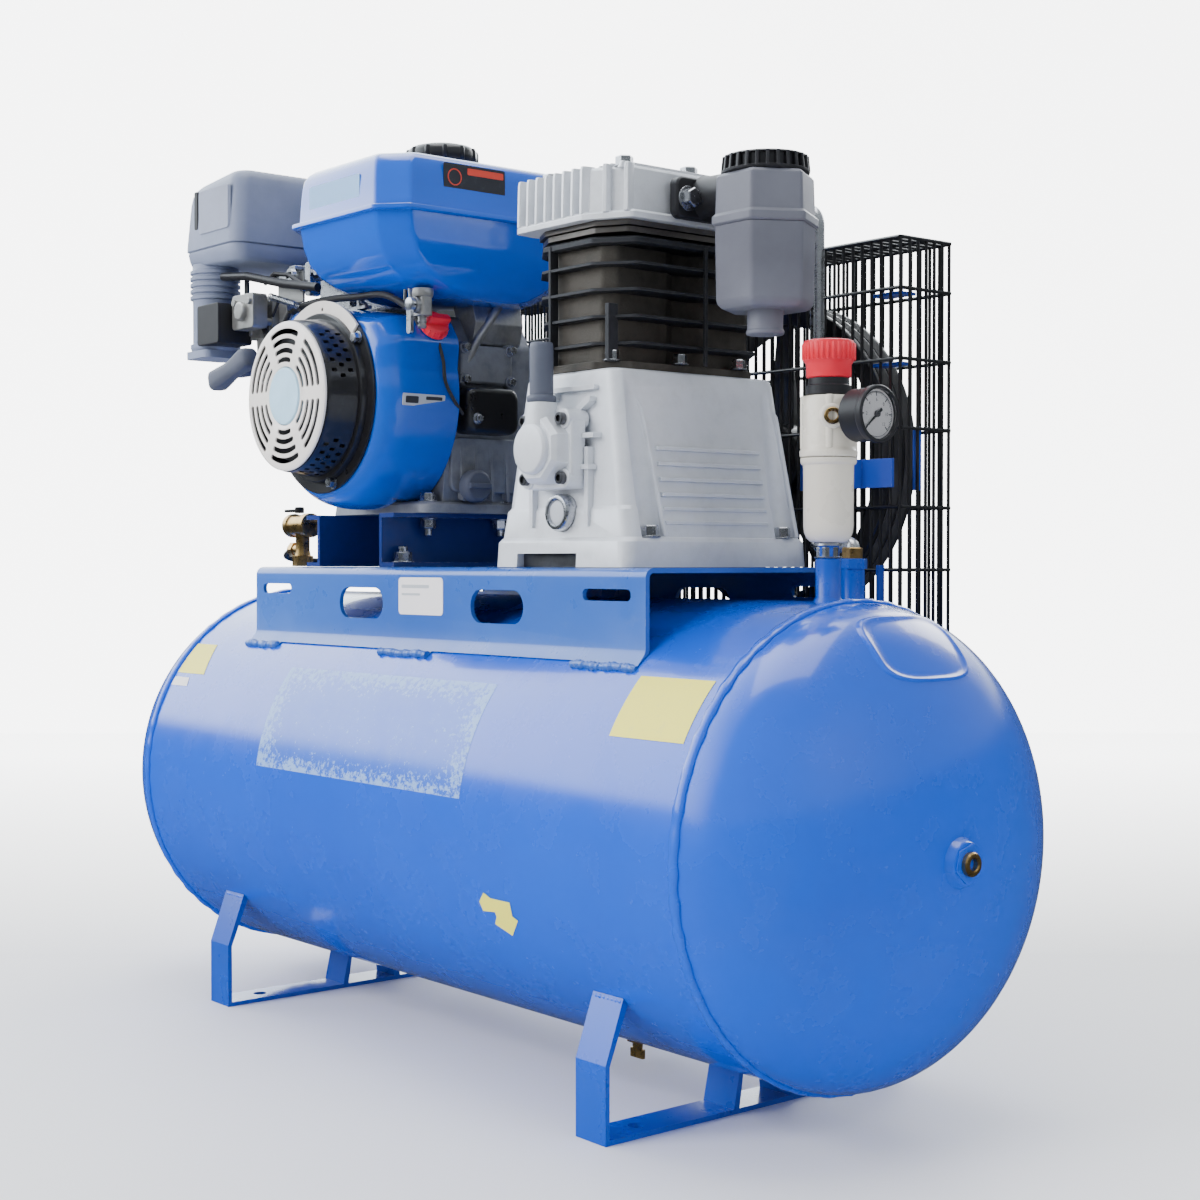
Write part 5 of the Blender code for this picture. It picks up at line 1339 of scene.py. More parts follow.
# front bearing cover: plate, octagon cap, breather socket and four screw bosses
BREATHER_Y = -127.5
COVER_SCREWS = [(PUMP_X + dx, PUMP_Z + dz) for dx, dz in product((-23.5, 23.5), repeat=2)]
plate = chamfered(PUMP_X - 32, PUMP_X + 32, PUMP_Z - 32, PUMP_Z + 32, 10, 10)
small_plate = grow(plate, PUMP_X, PUMP_Z, 0.965)
parts = [loft([(-108.3, fillet(plate, 4, 4)), (-120.5, fillet(plate, 4, 4)),
               (-122.5, fillet(small_plate, 4, 4))], "y"),
         loft([(y, circle(PUMP_X, PUMP_Z, radius, 8, math.pi / 8))
               for y, radius in ((-121.5, 30.5), (-132.5, 28.8), (-136.5, 25.2))], "y"),
         lathe([(-135.5, 20.5), (-139.5, 20.5), (-141.5, 18.8), (-142, 17.0), (-142.1, 0)],
               PUMP_X, PUMP_Z, "y"),
         lathe([(541, 13.4), (556, 13.0), (559, 12.4), (562.0, 12.0), (562.0, 0)],
               PUMP_X, BREATHER_Y, "z", 36)]
parts += [lathe([(-104, 8.2), (-123.6, 8.0), (-124.4, 7.2), (-124.4, 0)], x, z, "y", 28)
          for x, z in COVER_SCREWS]
piece("pump_service_cover", join(*parts), PUMP_ALU, replaces="pump_front_cover", bevel=0.6)
for k, (x, z) in enumerate(COVER_SCREWS):
    screw = lathe([(0, 5.0), (4.4, 5.0), (5.0, 4.4), (5.0, 2.73), (3.0, 2.6), (3.0, 0)],
                  0, 0, "z", 24)
    piece(f"cover_screw_{k}", along_y(screw, -1, x, -124.3, z), DARK_STEEL, smooth=35)
piece("breather_pipe",
      lathe([(562.3, 9.0), (562.3, 11.2), (563.2, 11.8), (566.5, 11.8), (567.4, 11.2),
             (568, 9.6), (606, 9.6), (609, 9.2), (610, 8.4), (610, 6.6), (600, 6.4), (600, 0)],
            PUMP_X, BREATHER_Y, "z", 40),
      BREATHER_GREY, replaces="breather_tube", smooth=35)
piece("oil_level_window",
      lathe([(-105.0, 15.0), (-113.4, 15.0), (-115.6, 13.8), (-116.0, 12.6), (-116.0, 11.2),
             (-115.0, 10.2), (-113.6, 9.9), (-113.4, 0)], GLASS_X, GLASS_Z, "y", 44),
      STEEL, replaces="oil_sight_glass", smooth=30)
piece("oil_level_lens", lathe([(-113.45, 9.8), (-114.1, 9.4), (-114.6, 7.4), (-114.8, 0)],
                              GLASS_X, GLASS_Z, "y", 36), STRIP, smooth=50)
piece("pump_bearing_housing",
      ring_lathe([(84.9, 40), (89, 40), (91, 38.5), (100, 31.5), (102, 30), (102, 15.4),
                  (84.9, 15.4)], PUMP_X, PUMP_Z, "y", 64),
      PUMP_ALU, replaces="pump_rear_cover", bevel=0.5)
for i in range(6):
    x, z = polar(PUMP_X, PUMP_Z, 34.5, 60 * i + 15)
    piece(f"bearing_bolt_{i}", along_y(hexbolt(8, 5, washer=False), 1, x, 93.5, z), ZINC,
          bevel=0.3)

# ---------------------------------------------------------------- finned block
# outline of the two barrels: x from the pump's middle, y
BARRELS = [(-32, -92), (32, -92), (41, -82), (41, -30), (35, -20), (35, -3), (41, 7), (41, 59),
           (32, 69), (-32, 69), (-41, 59), (-41, 7), (-35, -3), (-35, -20), (-41, -30),
           (-41, -82)]
FINS = [(609, 3.5), (630, 1.2), (651, 0), (672, 0), (690.5, 0.6)]      # z, inset


def block_bores():
    """The two cylinder bores, a little clear of the pistons."""
    return bores(580, 712, 31.0, 64)


def fin_outline(inset):
    return fillet(chamfered(118.0 + inset, 242.0 - inset, -102.0 + inset, 79.0 - inset, 30, 22),
                  7, 5)


core = boolean("UNION",
               prism(fillet(chamfered(PUMP_X - 52, PUMP_X + 52, -99, 76, 22, 22), 6, 4),
                     588.3, 594.5),
               prism(fillet([(PUMP_X + x, y) for x, y in BARRELS], 8, 5), 594, 692))
piece("block_barrels", cut(core, *block_bores()), BARREL_IRON, replaces="cylinder_block",
      bevel=0.5)
for k, (z, inset) in enumerate(FINS):
    thick = 2.3 if z < 690 else 4.2
    fin = loft([(z - thick * 0.85, fin_outline(inset + 2.6)),
                (z - thick * 0.5, fin_outline(inset)), (z + thick * 0.35, fin_outline(inset)),
                (z + thick * 0.75, fin_outline(inset + 2.6))])
    piece(f"block_fin_{k}", cut(fin, *block_bores()), BLOCK_IRON, smooth=20)
webs = [block(156.5, 159.5, -102.3, -94, 592, 692), block(221.5, 226, -96, -86, 594, 640),
        block(240.5, 243.5, -8, -5, 594, 690)]
piece("block_webs", join(*webs), BLOCK_IRON, bevel=0.5)
BLOCK_NUTS = [(222, -89), (234, -27), (234, 38), (150, -93), (126, -27), (126, 38), (205, 70),
              (150, 70)]
for k, (x, y) in enumerate(BLOCK_NUTS):
    bolt(f"block_nut_{k}", 10, 7.5, (x, y, 594.6))
piece("valve_plate_edge",
      join(prism(fillet(chamfered(124, 236, -97, 74, 26, 14), 5, 4), 696.4, 701.2),
           prism(fillet(chamfered(122, 238, -99, 76, 26, 14), 5, 4), 701.6, 706.1)),
      VALVE_PLATE, replaces="valve_plate", bevel=0.4)

# --------------------------------------------------------------- cylinder head
# x, y outlines of the head's body and of its flange
HEAD_PLAN = [(119, -98.5), (203.5, -98.5), (207, -101.5), (240.5, -84.5), (241.5, 58), (226, 81),
             (134, 81), (118.5, 56), (118.5, -80)]
HEAD_FLANGE = [(118.5, -107.2), (205.5, -107.2), (245.2, -87), (245.2, 60), (228, 84.2),
               (132, 84.2), (114.8, 58), (114.8, -88)]
HEAD_CENTRE = (180, -11)
RIB_PITCH = 11.7


def head_rib(x, y, normal_x, normal_y, depth, root, tip):
    """Upright rib at (x, y) standing out along a normal; root and tip are its widths."""
    normal = Vector((normal_x, normal_y)).normalized()
    across = Vector((-normal.y, normal.x))
    base = Vector((x, y))
    half_root, half_tip, shoulder = across * root / 2, across * tip / 2, across * (tip / 2 + 0.6)
    buried, near, far = normal * -4, normal * (depth - 1.6), normal * depth
    points = [base - half_root + buried, base + half_root + buried, base + half_root,
              base + shoulder + near, base + half_tip + far, base - half_tip + far,
              base - shoulder + near, base - half_root]
    low = [(p.x, p.y) for p in points]
    high = [((p - normal * 1.8).x, (p - normal * 1.8).y) for p in points]
    middle = [(a[0] * 0.5 + b[0] * 0.5, a[1] * 0.5 + b[1] * 0.5) for a, b in zip(low, high)]
    return loft([(711.5, low), (745.8, middle), (749.8, high)])


parts = [loft([(706.4, fillet(HEAD_FLANGE, 5, 5)), (711.0, fillet(HEAD_FLANGE, 5, 5)),
               (713.0, fillet(grow(HEAD_FLANGE, *HEAD_CENTRE, 0.975), 5, 5))]),
         loft([(711, fillet(HEAD_PLAN, 3, 4)),
               (746, fillet(grow(HEAD_PLAN, *HEAD_CENTRE, 0.985), 3, 4)),
               (748.6, fillet(grow(HEAD_PLAN, *HEAD_CENTRE, 0.955, 0.965), 3, 4))])]
parts += [head_rib(122.2 + RIB_PITCH * i, -99.5, 0, -1, 7.8, 6.2, 2.9) for i in range(8)]
# two on the slanting front right corner
slant_x, slant_y = 240.0 - 205.0, -86.0 + 104.0
parts += [head_rib(205 + slant_x * part, -104.0 + slant_y * part, slant_y, -slant_x, 5.2, 6.5, 3.4)
          for part in (0.50, 0.97)]
parts += [head_rib(122.2 + RIB_PITCH * i, 80.0, 0, 1, 3.6, 6.2, 2.9) for i in range(8)]
# low ribs across the top
for i in range(9):
    x = 126 + 13.4 * i
    parts.append(rounded_loft([(746, x - 2.6, x + 2.6, -92, 70, 2),
                               (751.8, x - 1.6, x + 1.6, -89, 67, 1.5)], "z", 3))
piece("head_casting", join(*parts), HEAD_ALU, replaces="cylinder_head", bevel=0.55,
      limit=30)
for k, (x, y) in enumerate(product((132.7, 226.5), (-80, -11, 56))):
    bolt(f"head_bolt_{k}", 13, 8, (x, y, 748.4), bevel=0.4)

# ----------------------------------------------------------- pump intake filter
FILTER_X, FILTER_Y, FILTER_R = 321.0, -16.0, 40.5
piece("intake_elbow",
      join(rounded_loft([(247.0, -50, 18, 709, 742, 7), (254.4, -50, 18, 709, 742, 7),
                         (256, -48.5, 16.5, 710.5, 740.5, 6)], "x"),
           lathe([(255, 19), (260, 17.5), (280.2, 17.0), (283, 17)], FILTER_Y, 727, "x", 40)),
      BLACK_PLASTIC, replaces="intake_flange", bevel=0.6)
for k, y in enumerate((-38.5, 6.5)):
    bolt(f"intake_bolt_{k}", 14, 8, (256, y, 724.5), RIGHT, bevel=0.5)


def hex_loft(rows):
    """Rows are (z, radius beyond FILTER_R, corner radius)."""
    return loft([(z, fillet(circle(FILTER_X, FILTER_Y, FILTER_R + extra, 6), radius, 5))
                 for z, extra, radius in rows])


piece("intake_filter_body",
      join(hex_loft([(630.5, -7, 4), (631.5, -4.5, 5), (634.5, -1.6, 5), (638, -0.6, 5),
                     (693.6, 0.4, 5), (694.6, 0.9, 5)]),
           hex_loft([(694.9, 1.2, 5), (696.2, 3.0, 5), (701.8, 3.0, 5), (703.2, 1.6, 5),
                     (704.2, 0.2, 5), (732.5, -0.8, 5), (735.0, -3.0, 4)]),
           lathe([(611.5, 11.4), (611.5, 14.2), (612.4, 15.0), (614.5, 15.0), (615.4, 14.2),
                  (618, 14.0), (631, 14.4)], FILTER_X, FILTER_Y, "z", 36)),
      FILTER_GREY, replaces="air_filter_body", bevel=0.45)


def lid_slat(angle):
    """Upright slat on the lid's waist."""
    slat = rounded_loft([(737.4, -1.5, 1.5, 0, 4.6, 0.8), (749.2, -1.5, 1.5, 0, 3.4, 0.8)], "z", 3)
    cosine, sine = math.cos(angle), math.sin(angle)
    reshape(slat, lambda x, y, z: (FILTER_X + (30.4 + y) * cosine - x * sine,
                                   FILTER_Y + (30.4 + y) * sine + x * cosine, z))
    return outward(slat)


lid = lathe([(735.3, 33.6), (736.2, 34.6), (738.2, 34.8), (738.6, 31.0), (748.0, 30.6),
             (748.3, 33.6), (749.6, 32.4), (750.0, 30.4), (750.0, 0)], FILTER_X, FILTER_Y, "z", 72)
piece("intake_filter_lid", join(lid, *[lid_slat(2 * math.pi * i / 26) for i in range(26)]),
      BLACK_PLASTIC, "filter_lid", replaces="air_filter_lid", bevel=0.3)

# ----------------------------------------------------------------------- drive
dress("pump_crankshaft", STEEL, 0.5)
dress("piston_front", PUMP_ALU, 0.4)
dress("piston_rear", PUMP_ALU, 0.4)
FLY_R, SHEAVE_R, FLY_Y0, FLY_Y1 = 137.0, 46, 133.0, 167.0
FLY_WIDTH = FLY_Y1 - FLY_Y0
GROOVE_DEPTH = 9.0
GROOVES = [FLY_Y0 + FLY_WIDTH * (0.30 + 0.40 * k) for k in range(2)]


def sheave_profile(radius, bore):
    """Closed profile of a pulley rim with two belt grooves."""
    points = [(FLY_Y0, bore), (FLY_Y0, radius - 1.2), (FLY_Y0 + 1.2, radius)]
    for y in GROOVES:
        points += [(y - 5.4, radius), (y - 3.4, radius - GROOVE_DEPTH),
                   (y + 3.4, radius - GROOVE_DEPTH), (y + 5.4, radius)]
    return points + [(FLY_Y1 - 1.2, radius), (FLY_Y1, radius - 1.2), (FLY_Y1, bore)]


def spoke(index):
    """Tapered spoke, twisted along the shaft like a fan blade."""
    def outline(root, tip):
        return fillet([(PUMP_X + 26, PUMP_Z - root), (PUMP_X + 124, PUMP_Z - tip),
                       (PUMP_X + 124, PUMP_Z + tip), (PUMP_X + 26, PUMP_Z + root)], 2, 3)

    def twist(x, y, z):
        angle = math.radians(72 * index + 20) + 0.35 * (y - 150) / FLY_WIDTH
        dx, dz = x - PUMP_X, z - PUMP_Z
        return (PUMP_X + dx * math.cos(angle) - dz * math.sin(angle), y,
                PUMP_Z + dx * math.sin(angle) + dz * math.cos(angle))

    return reshape(loft([(FLY_Y0 + 7, outline(16, 10)), (FLY_Y1 - 7, outline(13, 8))], "y"), twist)


piece("flywheel_fan",
      join(ring_lathe(sheave_profile(FLY_R, 120.0), PUMP_X, PUMP_Z, "y", 144),
           ring_lathe([(FLY_Y0 - 4, 15.5), (FLY_Y0 - 4, 31), (FLY_Y0 - 2, 33), (FLY_Y1 - 2, 33),
                       (FLY_Y1, 31), (FLY_Y1, 15.5)], PUMP_X, PUMP_Z, "y"),
           *[spoke(i) for i in range(5)]),
      BLACK, "pump_drive", replaces="flywheel", bevel=0.5)
bolt("flywheel_nut", 24, 10, (PUMP_X, 167.2, PUMP_Z), BACK, bevel=0.5, body="pump_drive")
piece("engine_sheave",
      join(lathe([(62, 12.7), (169, 12.7), (171, 11.5), (171, 0)], CRANK_X, CRANK_Z, "y", 40),
           ring_lathe(sheave_profile(SHEAVE_R, 12.0), CRANK_X, CRANK_Z, "y", 72)),
      DARK_STEEL, "engine_drive", replaces="engine_pulley_shaft", bevel=0.4)


def belt_path(small, large, small_steps=30, large_steps=70):
    """Closed (x, z) path of a belt round the engine sheave and the flywheel."""
    engine, pump = Vector((CRANK_X, CRANK_Z)), Vector((PUMP_X, PUMP_Z))
    span = pump - engine
    heading = math.atan2(span.y, span.x)
    wrap = math.acos((small - large) / span.length)
    points = []
    for i in range(small_steps + 1):
        angle = heading + wrap + (2 * math.pi - 2 * wrap) * i / small_steps
        points.append((engine.x + small * math.cos(angle), engine.y + small * math.sin(angle)))
    for i in range(large_steps + 1):
        angle = heading - wrap + 2 * wrap * i / large_steps
        points.append((pump.x + large * math.cos(angle), pump.y + large * math.sin(angle)))
    return points


# belt section: y from the groove's middle, height above the belt's inner face
BELT_SECTION = [(-4.9, 6.3), (4.9, 6.3), (5.1, 5.4), (3.3, 0.0), (-3.3, 0.0), (-5.1, 5.4)]
for groove, name in zip(GROOVES, ("inner", "outer")):
    belt = bmesh.new()
    loops = [[belt.verts.new((x, groove + dy, z)) for x, z in belt_path(40 + rise, 131 + rise)]
             for dy, rise in BELT_SECTION]
    for lower, upper in zip(loops, loops[1:] + loops[:1]):
        bridge(belt, lower, upper)
    piece(f"vee_belt_{name}", outward(belt), BELT_RUBBER, replaces=f"drive_belt_{name}",
          smooth=40)

# ------------------------------------------------------------------ belt guard
GUARD_X0, GUARD_X1, GUARD_Y0, GUARD_Y1, GUARD_Z0, GUARD_Z1 = (
    -244.5, 336.5, 123.5, 184.5, 369.5, 701.5)
GUARD_BAYS = 55
GUARD_LEVELS = [GUARD_Z0, 428, 480, 545, 602, 660, GUARD_Z1]
GUARD_WIRE_R = 1.45


def guard():
    mesh = bmesh.new()

    def wire(*path, extra=0.0):
        tube(path, GUARD_WIRE_R + extra, 6, mesh)

    for i in range(GUARD_BAYS + 1):
        x = GUARD_X0 + (GUARD_X1 - GUARD_X0) * i / GUARD_BAYS
        corners = [(x, GUARD_Y0, GUARD_Z0), (x, GUARD_Y1, GUARD_Z0), (x, GUARD_Y1, GUARD_Z1),
                   (x, GUARD_Y0, GUARD_Z1)]
        shaft_z = None
        if abs(x - CRANK_X) < 18:
            shaft_z = CRANK_Z
        elif abs(x - PUMP_X) < 22:
            shaft_z = PUMP_Z
        if shaft_z is None:
            for start, end in zip(corners, corners[1:] + corners[:1]):
                wire(start, end)
        else:
            # the front wires stop short of the shaft that comes through here
            wire(corners[3], (x, GUARD_Y0, shaft_z + 24))
            wire((x, GUARD_Y0, shaft_z - 24), corners[0])
            wire(*corners)
    for z in GUARD_LEVELS:
        for y in (GUARD_Y0 - 1.2, GUARD_Y1 + 1.2):
            if y < 150 and abs(z - CRANK_Z) < 10:
                continue
            if y < 150 and abs(z - CRANK_Z) < 18:
                wire((GUARD_X0, y, z), (CRANK_X - 20, y, z), extra=0.2)
                wire((CRANK_X + 20, y, z), (GUARD_X1, y, z), extra=0.2)
                continue
            wire((GUARD_X0, y, z), (GUARD_X1, y, z), extra=0.2)
        for x in (GUARD_X0 - 1.2, GUARD_X1 + 1.2):
            wire((x, GUARD_Y0, z), (x, GUARD_Y1, z), extra=0.2)
    for x in (GUARD_X0 - 1.2, GUARD_X1 + 1.2):
        for i in range(1, 6):
            y = GUARD_Y0 + (GUARD_Y1 - GUARD_Y0) * i / 6
            wire((x, y, GUARD_Z0), (x, y, GUARD_Z1))
    for y in (GUARD_Y0, (GUARD_Y0 + GUARD_Y1) / 2, GUARD_Y1):
        for z in (GUARD_Z0, GUARD_Z1):
            wire((GUARD_X0, y, z), (GUARD_X1, y, z), extra=0.5)
    return outward(mesh)


piece("wire_guard", guard(), WIRE_BLACK, replaces="belt_guard", smooth=60)
# flat brackets at the guard: x, y and z spans
GUARD_BRACKETS = [(228, 333, 117.5, 120.7, 496, 520), (296, 300, 96, 120.5, 496, 520),
                  (333.0, 334.8, 143, 152, 494, 547), (300, 333, 127.5, 147, 655.5, 658.0),
                  (300, 333, 127.5, 140, 597.0, 600.0), (-214, -196, 112.3, 121.0, 434, 480)]
GUARD_POST = [(318, 333, 88, 121.0, 372, 376), (318, 322, 115, 121.5, 372, 432)]
for name, spans in (("guard_brackets", GUARD_BRACKETS), ("guard_post_right", GUARD_POST)):
    piece(name, join(*[block(*span) for span in spans]), BRACKET_BLUE, bevel=0.5)


# ------------------------------------------------------------------- regulator
def barrel_top(y):
    return TANK_Z + math.sqrt(TANK_R ** 2 - y * y)


PORT_Z = 545    # height of the gauge and the open port
PORT_AIM = (math.cos(math.radians(-39)), math.sin(math.radians(-39)), 0)
PORT_AT = (REG_X, REG_Y, PORT_Z)
riser_z = barrel_top(REG_Y)
piece("riser_pipe",
      join(lathe([(riser_z - 5, 12.6), (riser_z - 1.0, 12.0), (riser_z + 1.8, 10.4),
                  (riser_z + 3.0, 9.8), (436.2, 9.8), (437, 9.2), (437, 0)], REG_X, REG_Y, "z", 40),
           rod(436.5, 449.4, 8.4, REG_X, REG_Y, "z", 28)),
      FOOT_BLUE, replaces="regulator_riser", bevel=0.3)
piece("riser_nipple",
      join(moved(hexbolt(16.5, 8.0, washer=False), REG_X, REG_Y, 438.6),
           ring_lathe([(437.2, 8.6), (437.2, 10.6), (438.5, 10.9), (438.5, 8.6)],
                      REG_X, REG_Y, "z", 36),
           ring_lathe([(446.8, 8.6), (446.8, 10.2), (449.2, 9.8), (449.2, 8.6)],
                      REG_X, REG_Y, "z", 36)), STEEL, bevel=0.3)
piece("regulator_cup",
      lathe([(449.5, 12.5), (450.3, 14.5), (453, 17.0), (457, 18.6), (462, 19.2), (506, 19.4),
             (508.5, 19.6), (509.5, 21.0), (511, 21.6), (513.9, 21.6), (513.9, 0)],
            REG_X, REG_Y, "z", 56),
      CREAM, replaces="regulator_bowl", smooth=35)
parts = [lathe([(514.3, 20.4), (514.9, 22.0), (518.6, 22.3), (520.0, 21.8), (521.2, 20.9),
                (523, 20.6), (557, 20.6), (559.5, 20.0), (561.5, 18.4), (562, 0)],
               REG_X, REG_Y, "z", 56),
         lathe([(REG_X + 14, 12.0), (REG_X + 22, 11.2), (REG_X + 26.9, 10.4), (REG_X + 26.9, 0)],
               REG_Y, PORT_Z, "x", 36)]
parts += [lathe([(521, 3.6), (560.4, 3.6), (561.6, 2.8), (561.6, 0)],
                *polar(REG_X, REG_Y, 18.2, 45 + 90 * i), "z", 20) for i in range(4)]
parts.append(aim(lathe([(0, 10.4), (17.5, 10.4), (22.2, 9.4), (23.2, 8.4), (23.2, 6.4), (14, 6.2),
                        (14, 0)], 0, 0, "z", 40), PORT_AIM, PORT_AT))
piece("regulator_casting", join(*parts), CREAM, replaces="regulator_body", bevel=0.5)
port_ring = ring_lathe([(17.0, 3.6), (17.0, 6.4), (23.8, 6.4), (24.2, 5.9), (24.2, 4.3),
                        (23.4, 3.6)], 0, 0, "z", 32)
piece("regulator_port_ring", aim(port_ring, PORT_AIM, PORT_AT), BRASS, smooth=35)
# dark disc at the bottom of the open port: painted shade for the deep hole
port_shade_disc = lathe([(17.2, 4.2), (18.2, 4.2), (18.2, 0)], 0, 0, "z", 24)
piece("regulator_port_painted_shade", aim(port_shade_disc, PORT_AIM, PORT_AT), DARK_STEEL, smooth=35)
piece("regulator_collar",
      lathe([(561.8, 16.4), (562.6, 17.4), (569, 17.2), (570, 16.0), (574.8, 15.6), (574.8, 0)],
            REG_X, REG_Y, "z", 44), BLACK_PLASTIC, smooth=35)
parts = [lathe([(575.0, 16.0), (575.8, 17.2), (585.5, 17.4), (587.2, 18.6), (589.0, 19.5),
                (600.5, 19.9), (603.2, 18.9), (604.0, 17.0), (603.2, 12.0), (603.2, 0)],
               REG_X, REG_Y, "z", 64)]
parts += [lathe([(588.6, 0.8), (589.6, 1.35), (600.4, 1.35), (601.6, 0.8)],
                *polar(REG_X, REG_Y, 19.4, 12 * i), "z", 8) for i in range(30)]
piece("pressure_dial_knob", join(*parts), RED_PLASTIC, "pressure_knob",
      replaces="regulator_knob", smooth=35)

# pressure gauge facing +X; its dial has only ticks and plain numbers
GAUGE_X = REG_X + 27.3


def gauge_lathe(profile, sides):
    """Turned about the gauge's axis; levels are measured from GAUGE_X."""
    return lathe([(GAUGE_X + x, radius) for x, radius in profile], REG_Y, PORT_Z, "x", sides)


def dial_angle(part):
    """Clockwise angle in radians from the top, for 0 to 1 along the scale."""
    return math.radians(-135 + 270 * part)


piece("gauge_housing",
      gauge_lathe([(0, 12.0), (0.4, 18.8), (1.6, 20.0), (18.5, 20.2), (19.5, 21.4), (20.6, 21.8),
                   (24.6, 21.8), (25.4, 21.0), (25.4, 19.2), (24.2, 18.8), (21.0, 18.7),
                   (21.0, 0)], 72),
      BLACK_PLASTIC, replaces="gauge_case")
piece("gauge_dial", gauge_lathe([(21.02, 18.5), (21.3, 18.5), (21.3, 0)], 60), WHITE, smooth=40)
ticks = []
for i in range(61):
    angle = dial_angle(i / 60)
    start = 13.2 if i % 10 == 0 else 14.6 if i % 5 == 0 else 15.4
    half_width = 0.42 if i % 10 == 0 else 0.2
    ray = Vector((math.sin(angle), math.cos(angle)))
    across = Vector((ray.y, -ray.x)) * half_width
    corners = (ray * start + across, ray * 16.6 + across, ray * 16.6 - across,
               ray * start - across)
    ticks.append(prism([(REG_Y + p.x, PORT_Z + p.y) for p in corners],
                       GAUGE_X + 21.2, GAUGE_X + 21.42, "x"))
ticks.append(ring_lathe([(GAUGE_X + 21.2, 16.6), (GAUGE_X + 21.42, 16.6),
                         (GAUGE_X + 21.42, 16.95), (GAUGE_X + 21.2, 16.95)],
                        REG_Y, PORT_Z, "x", 60))
piece("gauge_ticks", join(*ticks), BADGE_DARK, smooth=40)


def text_mesh(text, size):
    """Flat centred text in the XY plane."""
    curve = bpy.data.curves.new("num", "FONT")
    curve.body = text
    curve.size = size
    curve.align_x = "CENTER"
    curve.align_y = "CENTER"
    obj = bpy.data.objects.new("num", curve)
    COLL.objects.link(obj)
    bpy.context.view_layer.update()
    evaluated = obj.evaluated_get(bpy.context.evaluated_depsgraph_get())
    data = bpy.data.meshes.new_from_object(evaluated)
    mesh = bmesh.new()
    mesh.from_mesh(data)
    bpy.data.objects.remove(obj, do_unlink=True)
    bpy.data.meshes.remove(data)
    return mesh


for i in range(7):
    angle = dial_angle(i / 6)
    at_y, at_z = REG_Y + 10.6 * math.sin(angle), PORT_Z + 10.6 * math.cos(angle)
    number = reshape(text_mesh(str(2 * i), 3.6),
                     lambda x, y, z: (GAUGE_X + 21.45, at_y + x, at_z + y))
    piece(f"dial_number_{i}", number, BADGE_DARK, smooth=40)
hand = prism([(REG_Y - 1.1, 539), (REG_Y + 1.1, 539), (REG_Y + 0.3, 560.4), (REG_Y - 0.3, 560.4)],
             GAUGE_X + 22.0, GAUGE_X + 22.8, "x")
piece("gauge_pointer",
      join(gauge_lathe([(21.5, 2.6), (23.2, 2.4), (23.6, 1.8), (23.6, 0)], 28),
           turned(hand, 130, "X", (GAUGE_X, REG_Y, PORT_Z))),
      BLACK, "needle", replaces="gauge_needle", smooth=35)
piece("gauge_window", gauge_lathe([(24.0, 18.6), (24.5, 18.6), (24.9, 14), (25.1, 8),
                                   (25.2, 0)], 60), GLASS, smooth=50)

# ------------------------------------------------- check valve and delivery pipe
CHECK_X, CHECK_Y = 343.0, 60.0
check_z = barrel_top(CHECK_Y)
piece("check_valve_body",
      join(lathe([(check_z - 10, 12.5), (check_z - 1, 11.6), (check_z + 3, 9.8), (429.5, 9.8),
                  (430, 9.2), (430, 0)], CHECK_X, CHECK_Y, "z", 36),
           prism(fillet(circle(CHECK_X, CHECK_Y, 12.5, 6), 1.0, 2), 429, 437.2)),
      FOOT_BLUE, replaces="check_valve", bevel=0.4)
DELIVERY = [(205, 84.4, 731), (205, 103, 731), (262, 103, 731), (262, 103, 448),
            (CHECK_X, CHECK_Y, 448), (CHECK_X, CHECK_Y, 437.4)]
piece("delivery_pipe", tube(bent_path(DELIVERY, 13, 10), 6.2, 20), STEEL,
      replaces="discharge_pipe", smooth=50)
bolt("delivery_nut_low", 15, 9, (CHECK_X, CHECK_Y, 437.3), washer=False, bevel=0.4,
     material=BRASS)
bolt("delivery_nut_high", 16, 9, (205, 84.6, 731), BACK, washer=False, bevel=0.4, material=BRASS)
dress("drain_valve", BRASS, 0.5)
dress("drain_valve_screw", BRASS, 0.5)

# port in the middle of the right head: welded boss, hexagon, brass insert
piece("end_port_boss",
      ring_lathe([(503.5, 9.0), (503.5, 19.5), (504.6, 19.0), (506.2, 17.4), (509.6, 16.6),
                  (511.2, 15.2), (511.2, 9.0)], 0, TANK_Z, "x"), TANK_BLUE, smooth=40)
piece("end_port_hex",
      prism(fillet(circle(0, TANK_Z, 14.6, 6, start=0.3), 1.0, 2), 506.0, 512.6, "x"),
      TANK_BLUE, bevel=0.7)
piece("end_port_insert",
      ring_lathe([(508, 4.4), (508, 8.9), (515.8, 8.9), (517.0, 8.0), (517.4, 6.6), (517.4, 5.2),
                  (516.4, 4.4)], 0, TANK_Z, "x", 40), BRASS, replaces="tank_port")
# dark disc inside the brass insert: painted shade for the bore
piece("end_port_painted_shade", lathe([(509, 4.5), (510, 4.5), (510, 0)], 0, TANK_Z, "x", 24), DARK_STEEL,
      smooth=40)

